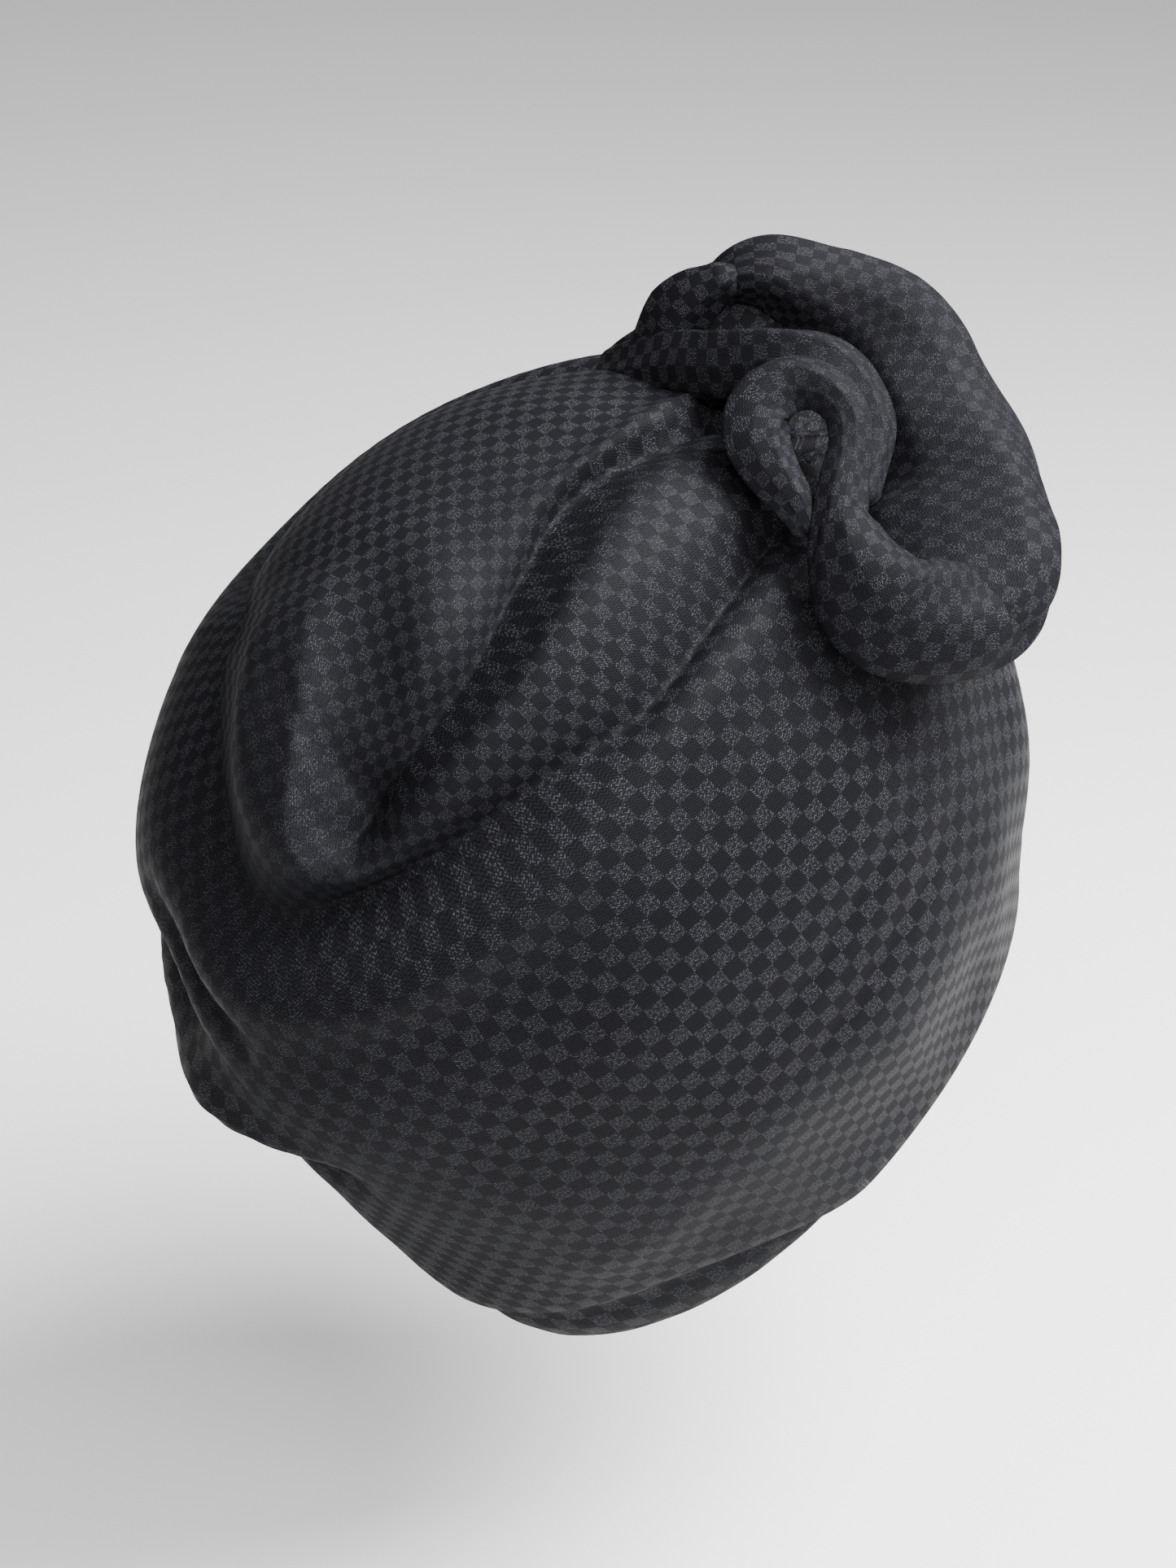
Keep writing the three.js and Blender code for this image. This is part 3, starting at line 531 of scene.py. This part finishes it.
def fold_shift(points, normals, power, rows):
    """Shift of each point by one fold. Its height along the normal is depth times
    exp(-(distance / width) ^ power), where the distance is to the fold's path, and depth and widths run
    smoothly between its rows. The lean moves the cloth sideways by its share of the height."""
    table = np.asarray(rows, float)
    ways = direction(table[:, 0], table[:, 1])
    line = through_rows(np.hstack([ways, table[:, 2:]]), FOLD_STEPS)
    path = crown_point(unit(line[:, :3]))
    nearest = np.full(len(points), np.inf)
    values = np.zeros((len(points), 4))
    foot = np.zeros_like(points)
    along = np.zeros_like(points)
    for i in range(len(path) - 1):
        span = path[i + 1] - path[i]
        share = np.clip(((points - path[i]) @ span) / (span @ span), 0, 1)
        here = path[i] + share[:, None] * span
        distance = np.linalg.norm(points - here, axis=1)
        closer = distance < nearest
        nearest[closer] = distance[closer]
        foot[closer] = here[closer]
        along[closer] = span
        mixed = line[i, 3:] * (1 - share[:, None]) + line[i + 1, 3:] * share[:, None]
        values[closer] = mixed[closer]
    depth, left, right, lean = values.T
    side = np.cross(normals, unit(along))
    on_left = ((points - foot) * side).sum(1) > 0
    width = np.where(on_left, left, right) * FOLD_WIDTH
    height = depth * FOLD_DEPTH * np.exp(-(nearest / width) ** power)
    return height[:, None] * (normals + lean[:, None] * side)


def nape_share(azimuth):
    """Share of the gap over the nape band: 1 at the back, falling to 0 over its spread."""
    away = np.abs(np.abs(azimuth / RAD) - 180)
    return 1 - smoothstep(away, NAPE_SPREAD * 0.5, NAPE_SPREAD)


def to_chart(way):
    """Flat chart of the crown: the polar angle laid off from the top towards the azimuth."""
    polar, azimuth = polar_of(way), azimuth_of(way)
    return np.stack([polar * np.cos(azimuth), polar * np.sin(azimuth)], -1)


def from_chart(chart):
    """Way out of the crown's middle for a place in the chart."""
    polar = np.hypot(chart[..., 0], chart[..., 1])
    return direction(np.arctan2(chart[..., 1], chart[..., 0]) / RAD, 90 - polar / RAD)


def fold_line(name):
    """Path of a fold laid out in the chart."""
    table = np.array(FOLDS[name][1])
    return to_chart(unit(through_rows(direction(table[:, 0], table[:, 1]), FOLD_STEPS)))


def wrap_ways():
    """Ways of the wrap's grid: straight lines in the chart from the knot to the wrap's edge."""
    angles = closer_places(WRAP_LINES, 360, *FOLDED_LINES)[:-1] * RAD
    shares = closer_places(WRAP_ROWS, 1, *FOLDED_ROWS)
    forward = np.cos(angles)[:, None] * HEM_HALF_LENGTH * FRONT
    aside = np.sin(angles)[:, None] * HEM_HALF_WIDTH * RIGHT
    hem = forward + aside - MIDDLE
    distance = np.linalg.norm(hem, axis=1)
    end = to_chart(unit(hem))
    azimuth = np.arctan2(end[:, 1], end[:, 0])
    short = nape_share(azimuth) * NAPE_GAP / distance / np.hypot(end[:, 0], end[:, 1])
    edge = end * (1 - short)[:, None]
    start = to_chart(direction(*KNOT_POLE))
    chart = start + (edge[:, None] - start) * shares[None, :, None]
    return from_chart(chart), chart, shares


def undulation(chart):
    """Slow swells of the cloth: the sum of a few long sine waves that cross in the chart."""
    x, y = chart[..., 0], chart[..., 1]
    return sum(height * np.sin(forward * x + sideways * y + start)
               for height, forward, sideways, start in CROWN_WAVES)


def knot_gathers(chart):
    """Small pleats running out of the knot: sine waves in the angle round it, rising over their start
    and faded by exp(-(distance / reach) ^ 2)."""
    away = chart - to_chart(direction(*KNOT_POLE))
    turn = np.arctan2(away[..., 1], away[..., 0])
    distance = np.hypot(away[..., 0], away[..., 1]) / RAD
    fade = np.exp(-(distance / GATHER_REACH) ** 2) * smoothstep(distance, *GATHER_START)
    return fade * sum(height * np.sin(count * turn + start) for count, height, start in GATHER_WAVES)


def wrap_surface():
    """Smooth crown plus the shifts of all folds, swells and gathers, faded out at the edge."""
    ways, chart, shares = wrap_ways()
    smooth = crown_point(ways)
    normals = crown_normal(ways)
    flat_points, flat_normals = smooth.reshape(-1, 3), normals.reshape(-1, 3)
    shift = sum(fold_shift(flat_points, flat_normals, *fold) for fold in FOLDS.values())
    fade = (1 - smoothstep(shares, CALM_EDGE, 1))[None, :, None]
    small = (undulation(chart) + knot_gathers(chart))[..., None] * normals
    outer = smooth + (shift.reshape(smooth.shape) + small) * fade
    return outer, normals, chart, ways


def inside(outline, points):
    """Even-odd rule: a point is inside when a ray along +x crosses the outline an odd number of times."""
    a, b = outline, np.roll(outline, -1, axis=0)
    x, y = points[:, 0, None], points[:, 1, None]
    crosses = (a[:, 1] > y) != (b[:, 1] > y)
    rise = np.where(b[:, 1] == a[:, 1], 1e-9, b[:, 1] - a[:, 1])
    at = a[:, 0] + (y - a[:, 1]) / rise * (b[:, 0] - a[:, 0])
    return (crosses & (x < at)).sum(1) % 2 == 1


def cloth_piece(name, points, faces, loop_uv):
    """Mesh object at the origin from points in millimetres, with the weave's UV map in squares."""
    mesh = bpy.data.meshes.new(name)
    mesh.from_pydata((points * MM).tolist(), [], faces)
    layer = mesh.uv_layers.new(name="weave")
    layer.data.foreach_set("uv", np.ascontiguousarray(loop_uv, dtype=np.float32).ravel())
    mesh.polygons.foreach_set("use_smooth", np.ones(len(mesh.polygons), bool))
    mesh.update()
    piece = bpy.data.objects.new(name + "_cloth", mesh)
    bpy.context.scene.collection.objects.link(piece)
    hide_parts(name)
    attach(piece, "root")
    return piece


def ring_squares(lines, rows, closed_rows=False):
    """Squares of a grid that closes on itself over its lines, and over its rows too where that is asked."""
    spans = rows if closed_rows else rows - 1
    line, row = np.meshgrid(np.arange(lines), np.arange(spans), indexing="ij")
    here, there = line * rows, ((line + 1) % lines) * rows
    after = (row + 1) % rows
    return np.stack([here + row, there + row, there + after, here + after], -1).reshape(-1, 4)


def facing_out(points, faces):
    """Faces turned so that the closed mesh holds a positive volume, by its signed tetrahedra."""
    volume = 0.0
    for group in faces:
        a, b, c = points[group[:, 0]], points[group[:, 1]], points[group[:, 2]]
        volume += (a * np.cross(b, c)).sum()
        if group.shape[1] == 4:
            volume += (a * np.cross(c, points[group[:, 3]])).sum()
    return [group if volume > 0 else group[:, ::-1] for group in faces]


def closed_columns(columns, pole_first, pole_last, uv_of):
    """Shell of a ring of columns that runs from one pole to the other, closed at both by a fan.
    Gives its points, its squares and triangles, and the UV of each of their corners."""
    lines, rows = columns.shape[:2]
    points = np.vstack([columns.reshape(-1, 3), pole_first, pole_last])
    line = np.arange(lines)
    here, there = line * rows, ((line + 1) % lines) * rows
    first = np.stack([np.full(lines, lines * rows), there, here], -1)
    last = np.stack([np.full(lines, lines * rows + 1), here + rows - 1, there + rows - 1], -1)
    groups = facing_out(points, [ring_squares(lines, rows), np.vstack([first, last])])
    return points, groups, [uv_of(group).reshape(-1, 2) for group in groups]


def piece_of_shells(name, shells):
    """One piece from several closed shells, each added after the last."""
    points, faces, uv, count = [], [], [], 0
    for shell_points, groups, corners in shells:
        points.append(shell_points)
        for group in groups:
            faces += (group + count).tolist()
        uv += corners
        count += len(shell_points)
    return cloth_piece(name, np.vstack(points), faces, np.vstack(uv))


def even_count(length, square):
    """Whole even number of squares in a length, so that the check meets itself where a ring closes."""
    return 2 * round(length / square / 2)


def past_the_seam(values, count):
    """Values of each face's corners round a ring of so many squares, lifted past the seam they cross."""
    low = values < count / 2
    crosses = np.ptp(values, axis=1)[:, None] > count / 2
    return values + (low & crosses) * count


def around_length():
    """Length round the crown's widest level by azimuth, half a degree apart, in squares."""
    azimuth = np.linspace(-math.pi, math.pi, 2 * 360 + 1)
    ring = crown_point(direction(azimuth / RAD, 0))
    length = np.concatenate([[0], np.cumsum(np.linalg.norm(np.diff(ring, axis=0), axis=1))])
    count = even_count(length[-1], SQUARE)
    return azimuth, length / length[-1] * count, count


def up_length(way):
    """Length from the hem up to each point along its meridian, summed over equal steps, in squares."""
    azimuth, polar = azimuth_of(way), polar_of(way)
    hem_polar = hem_from_middle(azimuth)[2]
    t = np.linspace(0, 1, UP_STEPS + 1)[:, None]
    steps = hem_polar + (polar - hem_polar) * t
    line = crown_point(direction(azimuth / RAD, 90 - steps / RAD))
    return np.linalg.norm(np.diff(line, axis=0), axis=-1).sum(0) / SQUARE


def turned(chart, degrees):
    """Chart laid out flat in squares of cloth and turned."""
    a = degrees * RAD
    x, y = chart[:, 0] * DOME_REACH / SQUARE, chart[:, 1] * DOME_REACH / SQUARE
    return np.stack([x * math.cos(a) - y * math.sin(a), x * math.sin(a) + y * math.cos(a)], -1)


def build_wrap():
    """The wrap: its folded surface outside, the same a wall further in, and a rounded edge between. The
    check runs round the crown on the side panel, and is laid flat on the dome and on the flap."""
    outer, normals, chart, ways = wrap_surface()
    inner = outer - WALL * normals
    edge = unit(outer[:, -1] - outer[:, -2])
    rim = ((outer[:, -1] + inner[:, -1]) / 2 + edge * WALL * 0.5)[:, None]
    columns = np.concatenate([outer[:, 1:], rim, inner[:, :0:-1]], axis=1)
    flat_chart = np.concatenate([chart[:, 1:], chart[:, -1:], chart[:, :0:-1]], axis=1).reshape(-1, 2)
    flat_ways = np.concatenate([ways[:, 1:], ways[:, -1:], ways[:, :0:-1]], axis=1).reshape(-1, 3)
    pole = direction(*KNOT_POLE)
    flat_chart = np.vstack([flat_chart, to_chart(pole), to_chart(pole)])
    flat_ways = np.vstack([flat_ways, pole, pole])

    azimuths, around, count = around_length()
    panel = np.stack([np.interp(azimuth_of(flat_ways), azimuths, around), up_length(flat_ways)], -1)
    dome, flap = turned(flat_chart, DOME_TURN), turned(flat_chart, FLAP_TURN)
    dome_outline = fold_line("valley round the side panel")
    under_flap = dome_outline[:UNDER_FLAP_ROWS * FOLD_STEPS + 1]
    flap_outline = np.vstack([fold_line("valley beside the flap"), under_flap[::-1]])

    def uv_of(group):
        middle = flat_chart[group].mean(1)
        on_panel = np.stack([past_the_seam(panel[group][..., 0], count), panel[group][..., 1]], -1)
        on_dome = inside(dome_outline, middle)[:, None, None]
        on_flap = inside(flap_outline, middle)[:, None, None]
        return np.where(on_flap, flap[group], np.where(on_dome, dome[group], on_panel))

    return piece_of_shells("crown_wrap", [closed_columns(columns, outer[:1, 0], inner[:1, 0], uv_of)])


def build_band():
    """Strip inside the wrap's edge: out on the wrap's line where it is bare at the nape, a wall further in
    elsewhere, with fine ripples and a rounded edge above and below."""
    azimuth = np.linspace(-math.pi, math.pi, BAND_LINES, endpoint=False)
    height = np.linspace(-BAND_DROP, BAND_HEIGHT, BAND_ROWS + 1)
    _, distance, polar = hem_from_middle(azimuth)
    way = direction(azimuth[:, None] / RAD, 90 - (polar[:, None] - height / distance[:, None]) / RAD)
    bare = nape_share(azimuth)[:, None]
    gap = bare * NAPE_GAP
    out_to, in_from = BAND_OUT
    free = bare * (1 - smoothstep(height, out_to * gap, in_from * gap + BAND_CLEAR_RUN))
    normals = crown_normal(way)
    wave = np.sin(azimuth[:, None] * BAND_RIPPLES + height * BAND_SLANT)
    ripple = BAND_RIPPLE * wave * np.sin(height / BAND_HEIGHT * math.pi)
    inset = WALL + BAND_CLEAR - free * WALL + BAND_RIPPLE + ripple
    outer = crown_point(way) - inset[..., None] * normals
    inner = outer - BAND_WALL * normals
    low = (outer[:, :1] + inner[:, :1]) / 2 + unit(outer[:, :1] - outer[:, 1:2]) * BAND_WALL * 0.5
    high = (outer[:, -1:] + inner[:, -1:]) / 2 + unit(outer[:, -1:] - outer[:, -2:-1]) * BAND_WALL * 0.5
    columns = np.concatenate([low, outer, high, inner[:, ::-1]], axis=1)
    points = columns.reshape(-1, 3)
    rows = columns.shape[1]
    faces = facing_out(points, [ring_squares(BAND_LINES, rows, closed_rows=True)])[0]
    level = np.concatenate([[0], height, height[-1:], height[::-1]]) / SQUARE
    around = even_count(math.pi * (HEM_HALF_LENGTH + HEM_HALF_WIDTH), SQUARE)
    u = np.repeat(np.arange(BAND_LINES) / BAND_LINES * around, rows)
    v = np.tile(level, BAND_LINES)
    uv = np.stack([past_the_seam(u[faces], around), v[faces]], -1).reshape(-1, 2)
    return cloth_piece("nape_band", points, faces.tolist(), uv)


SEAT = crown_point(direction(*KNOT_SEAT))


def knot_point(across, along, rise):
    """Place in the knot: from its seat by shares of its reach across, along and up its axis."""
    return SEAT + KNOT_REACH * (np.asarray(across)[..., None] * KNOT_ACROSS
                                + np.asarray(along)[..., None] * KNOT_ALONG
                                + np.asarray(rise)[..., None] * KNOT_AXIS)


def strand_shell(rows, pleats):
    """Rolled cloth: an oval carried along a path, its half sizes run down to nothing over the last
    stretch at each end. Its skin has pleats, the root of a sine's size, that run along it and turn
    slowly round it, and slow sine swells."""
    line = through_rows(rows, STRAND_STEPS)
    path = knot_point(line[:, 0], line[:, 1], line[:, 2])
    ahead = unit(np.gradient(path, axis=0))
    side = unit(np.cross(ahead, KNOT_ALONG))
    face = np.cross(side, ahead)
    length = np.concatenate([[0], np.cumsum(np.linalg.norm(np.diff(path, axis=0), axis=1))])
    width, depth = line[:, 3] * ROLL_HALF, line[:, 4] * ROLL_HALF
    for near, stretch in ((length, depth[0]), (length[-1] - length, depth[-1])):
        share = np.clip(near / stretch, STRAND_TIP, 1)
        taper = np.sqrt(1 - (1 - share) ** 2)
        width, depth = width * taper, depth * taper
    angle = np.arange(STRAND_SIDES) / STRAND_SIDES * 2 * math.pi
    phase = length[:, None] / ROLL_HALF
    skin = np.ones((len(path), STRAND_SIDES))
    for count, twist, size, start in pleats:
        skin += size * (0.5 - np.sqrt(np.abs(np.sin(count * angle[None] / 2 + twist * phase + start))))
    for around, along, size, start in SWELLS:
        skin += size * np.sin(around * angle[None] + along * phase + start)
    section = (np.cos(angle)[None, :, None] * (width[:, None] * side)[:, None]
               + np.sin(angle)[None, :, None] * (depth[:, None] * face)[:, None])
    columns = (path[:, None] + section * skin[..., None]).transpose(1, 0, 2)
    girth = even_count(math.pi * float((width + depth).mean()), KNOT_SQUARE)
    u = np.append(np.tile(length / KNOT_SQUARE, STRAND_SIDES), [0, length[-1] / KNOT_SQUARE])
    v = np.append(np.repeat(np.arange(STRAND_SIDES) / STRAND_SIDES * girth, len(path)), [0, 0])

    def uv_of(group):
        return np.stack([u[group], past_the_seam(v[group], girth)], -1)

    return closed_columns(columns, path[:1], path[-1:], uv_of)


def core_reach(angle):
    """Furthest place where a ray at the angle, from the first lobe's middle, leaves any lobe's ellipse."""
    middle = CORE_LOBES[0, :2]
    reach = np.zeros(len(angle))
    for across, along, _, half_across, half_along, _ in CORE_LOBES:
        offset = np.array([across, along]) - middle
        a = (np.cos(angle) / half_across) ** 2 + (np.sin(angle) / half_along) ** 2
        b = np.cos(angle) * offset[0] / half_across ** 2 + np.sin(angle) * offset[1] / half_along ** 2
        c = (offset[0] / half_across) ** 2 + (offset[1] / half_along) ** 2 - 1
        root = b * b - a * c
        reach = np.maximum(reach, np.where(root > 0, (b + np.sqrt(np.maximum(root, 0))) / a, 0))
    return reach


def build_core():
    """Wound cloth under the strands: over each lobe the height of an ellipsoid, the highest kept, with
    pleats that turn out from the middle, closed underneath by the same outline drawn flat."""
    angle = np.arange(CORE_SIDES) / CORE_SIDES * 2 * math.pi
    middle = CORE_LOBES[0, :2]
    share = np.sin(np.linspace(0, 1, CORE_RINGS + 1)[1:] * math.pi / 2)
    spread = share[None] * core_reach(angle)[:, None]
    across = middle[0] + spread * np.cos(angle)[:, None]
    along = middle[1] + spread * np.sin(angle)[:, None]
    rise = np.full(across.shape, CORE_FLOOR)
    for lobe in CORE_LOBES:
        q = ((across - lobe[0]) / lobe[3]) ** 2 + ((along - lobe[1]) / lobe[4]) ** 2
        rise = np.maximum(rise, lobe[2] + lobe[5] * np.sqrt(np.clip(1 - q, 0, 1)) + CORE_FLOOR * (q > 1))
    pleats, turn, depth = CORE_PLEATS
    wave = np.sin(pleats * angle[:, None] + turn * share[None])
    rise = rise - depth * np.sqrt(np.abs(wave)) * smoothstep(share, *CORE_PLEAT_START)
    upper = knot_point(across, along, rise)
    under_across = across[:, ::-1] * CORE_TUCK + middle[0] * (1 - CORE_TUCK)
    under_along = along[:, ::-1] * CORE_TUCK + middle[1] * (1 - CORE_TUCK)
    lower = knot_point(under_across, under_along, np.full(across.shape, CORE_BASE))
    columns = np.concatenate([upper, lower], axis=1)
    top = knot_point(middle[:1], middle[1:], CORE_LOBES[:1, 2] + CORE_LOBES[:1, 5])
    base = knot_point(middle[:1], middle[1:], np.array([CORE_BASE]))
    away = np.vstack([columns.reshape(-1, 3), top, base]) - SEAT
    deep = away @ KNOT_ALONG
    across_run, rise_run = CORE_GRAIN
    flat = np.stack([away @ KNOT_ACROSS + across_run * deep, away @ KNOT_AXIS + rise_run * deep], -1)
    return closed_columns(columns, top, base, lambda group: flat[group] / KNOT_SQUARE)


class Wire:
    """A socket with arithmetic: an expression on wires and numbers adds the Math nodes that work it out."""

    def __init__(self, tree, socket):
        self.tree, self.socket = tree, socket

    def math(self, operation, *others):
        return node(self.tree, "ShaderNodeMath", {"operation": operation}, [self, *others])

    def __add__(self, other):
        return self.math("ADD", other)

    def __sub__(self, other):
        return self.math("SUBTRACT", other)

    def __mul__(self, other):
        return self.math("MULTIPLY", other)

    def __rsub__(self, other):
        return node(self.tree, "ShaderNodeMath", {"operation": "SUBTRACT"}, [other, self])

    __radd__, __rmul__ = __add__, __mul__

    def held(self):
        """The value kept between 0 and 1."""
        return node(self.tree, "ShaderNodeClamp", {}, [self])

    def feeds(self, shader, name):
        self.tree.links.new(self.socket, shader.inputs[name])


def node(tree, kind, settings, inputs, output=0):
    """One node: its settings first, then each input's value or link, by place or by name."""
    made = tree.nodes.new(kind)
    for key, value in settings.items():
        setattr(made, key, value)
    for key, value in inputs.items() if isinstance(inputs, dict) else enumerate(inputs):
        if isinstance(value, Wire):
            tree.links.new(value.socket, made.inputs[key])
        else:
            made.inputs[key].default_value = value
    return Wire(tree, made.outputs[output])


def mix_colour(tree, share, first, second):
    """Mix node on two colours, by its colour sockets: factor 0, colours 6 and 7, result 2."""
    return node(tree, "ShaderNodeMix", {"data_type": "RGBA"}, {0: share, 6: first, 7: second}, output=2)


def noise(tree, place, scale, detail, roughness=0.5):
    """Noise texture at a place, of so many cells to a unit and so many finer layers."""
    return node(tree, "ShaderNodeTexNoise", {},
                {"Vector": place, "Scale": scale, "Detail": detail, "Roughness": roughness})


def jacquard():
    """Satin jacquard: squares of two weaves set as a check. The light ones hold broken zigzag threads,
    the dark ones fine waves, and both give the roughness and a shallow relief."""
    material = bpy.data.materials.new("satin_jacquard_weave")
    material.use_nodes = True
    tree = material.node_tree
    shader = next(n for n in tree.nodes if n.type == "BSDF_PRINCIPLED")
    uv = node(tree, "ShaderNodeUVMap", {"uv_map": "weave"}, [])
    place = node(tree, "ShaderNodeTexCoord", {}, [], output=3)
    along = node(tree, "ShaderNodeSeparateXYZ", {}, [uv])
    across = Wire(tree, along.socket.node.outputs[1])
    stray = (noise(tree, place, STRAY_SCALE, 2.0) - 0.5) * STRAY_SHARE
    along, across = along + stray, across + stray
    check = (along.math("FLOOR") + across.math("FLOOR")).math("MODULO", 2.0).math("ABSOLUTE")

    zigzag = (along * ZIGZAGS).math("PINGPONG", 0.5) * ZIGZAG_SWING
    threads = (across * ZIGZAG_THREADS + zigzag).math("PINGPONG", 0.5) * 2.0
    broken = ((noise(tree, uv, 8.0, 2.0, roughness=0.7) - 0.47) * 9.0).held()
    fleck = ((threads - 0.35) * 2.2).held() * broken
    light = mix_colour(tree, fleck * FLECK_SHARE, LIGHT_SQUARE, FLECK)

    swing = (along * WAVE_TURN).math("SINE") * WAVE_SWING
    waves = (across * WAVY_THREADS + swing).math("PINGPONG", 0.5) * 2.0
    wavy = ((waves - 0.45) * 2.4).held()
    dark = mix_colour(tree, wavy * WAVY_SHARE, DARK_SQUARE, WAVY_THREAD)

    faded = ((noise(tree, place, FADED_SCALE, 2.0) - 0.42) * 4.0).held() * FADED_SHARE
    cloth = mix_colour(tree, check * (1 - faded) + faded * 0.5, dark, light)
    patch = noise(tree, place, PATCH_SCALE, 3.0)
    mix_colour(tree, patch * PATCH_SHARE, cloth, BLACK).feeds(shader, "Base Color")
    rough = ROUGH_DARK - check * ROUGH_DROP + (1 - fleck) * ROUGH_BETWEEN
    rough.feeds(shader, "Roughness")
    height = check * (0.5 + fleck * 0.5) + (1 - check) * (waves * 0.35)
    bump = node(tree, "ShaderNodeBump", {},
                {"Strength": BUMP_STRENGTH, "Distance": BUMP_HEIGHT, "Height": height})
    bump.feeds(shader, "Normal")
    shader.inputs["Specular IOR Level"].default_value = GLOSS
    return material


def frame_of(first, second, third, place):
    """Matrix in metres of an object whose own axes are the three given ways."""
    matrix = np.eye(4)
    matrix[:3, 0], matrix[:3, 1], matrix[:3, 2], matrix[:3, 3] = first, second, third, place * MM
    return Matrix(matrix.tolist())


def build_camera():
    """Camera at the photo's angle, aimed so that the hem's middle falls where it does in the photo."""
    a, e = CAMERA_AZIMUTH * RAD, CAMERA_RISE * RAD
    back = np.array([-math.sin(a) * math.cos(e), math.cos(a) * math.cos(e), math.sin(e)])
    right = np.array([-math.cos(a), -math.sin(a), 0])
    up = np.cross(back, right)
    offset = (np.array(HEM_IN_PHOTO) - np.array(PHOTO_SIZE) / 2) / PIXELS_PER_MM
    aim = -offset[0] * right + offset[1] * up
    data = bpy.data.cameras.new("camera")
    data.sensor_width = SENSOR
    data.lens = SENSOR * PIXELS_PER_MM * CAMERA_DISTANCE / max(PHOTO_SIZE)
    data.clip_end = CAMERA_FAR
    camera = bpy.data.objects.new("camera", data)
    camera.matrix_world = frame_of(right, up, back, aim + back * CAMERA_DISTANCE)
    bpy.context.scene.collection.objects.link(camera)
    bpy.context.scene.camera = camera
    return aim, back, right, up


def build_floor():
    """Square pale floor well under the held turban."""
    mesh = bpy.data.meshes.new("floor")
    z = CAD_BOX[0][2] - FLOOR_DROP
    mesh.from_pydata([(x * FLOOR_HALF, y * FLOOR_HALF, z) for x, y in ((-1, -1), (1, -1), (1, 1), (-1, 1))],
                     [], [(0, 1, 2, 3)])
    floor = bpy.data.objects.new("floor", mesh)
    bpy.context.scene.collection.objects.link(floor)
    pale = bpy.data.materials.new("pale_floor")
    pale.use_nodes = True
    shader = next(n for n in pale.node_tree.nodes if n.type == "BSDF_PRINCIPLED")
    shader.inputs["Base Color"].default_value = (FLOOR_TONE, FLOOR_TONE, FLOOR_TONE, 1)
    shader.inputs["Roughness"].default_value = FLOOR_ROUGHNESS
    mesh.materials.append(pale)


def build_lights(aim, back, right, up):
    """White room and broad soft lamps, each facing what the camera aims at."""
    world = bpy.data.worlds.new("room")
    world.use_nodes = True
    bpy.context.scene.world = world
    backdrop = next(n for n in world.node_tree.nodes if n.type == "BACKGROUND")
    backdrop.inputs["Color"].default_value = (1, 1, 1, 1)
    backdrop.inputs["Strength"].default_value = ROOM_LIGHT
    for name, (rightwards, upwards, backwards, size, power) in LAMPS.items():
        data = bpy.data.lights.new(name, "AREA")
        data.shape, data.size, data.energy = "DISK", size, power
        lamp = bpy.data.objects.new(name, data)
        bpy.context.scene.collection.objects.link(lamp)
        offset = right * rightwards + up * upwards + back * backwards
        z_axis = unit(offset)
        x_axis = unit(np.cross([0, 0, 1.0], z_axis))
        lamp.matrix_world = frame_of(x_axis, np.cross(z_axis, x_axis), z_axis, aim + offset)


view = build_camera()
build_floor()
build_lights(*view)
cloth = jacquard()
wrap = build_wrap()
band = build_band()
knot = [piece_of_shells("knot_core", [build_core()])]
for name, shells in STRANDS.items():
    knot.append(piece_of_shells(name, [strand_shell(rows, pleats) for rows, pleats in shells]))
for piece in [wrap, band, *knot]:
    piece.data.materials.append(cloth)
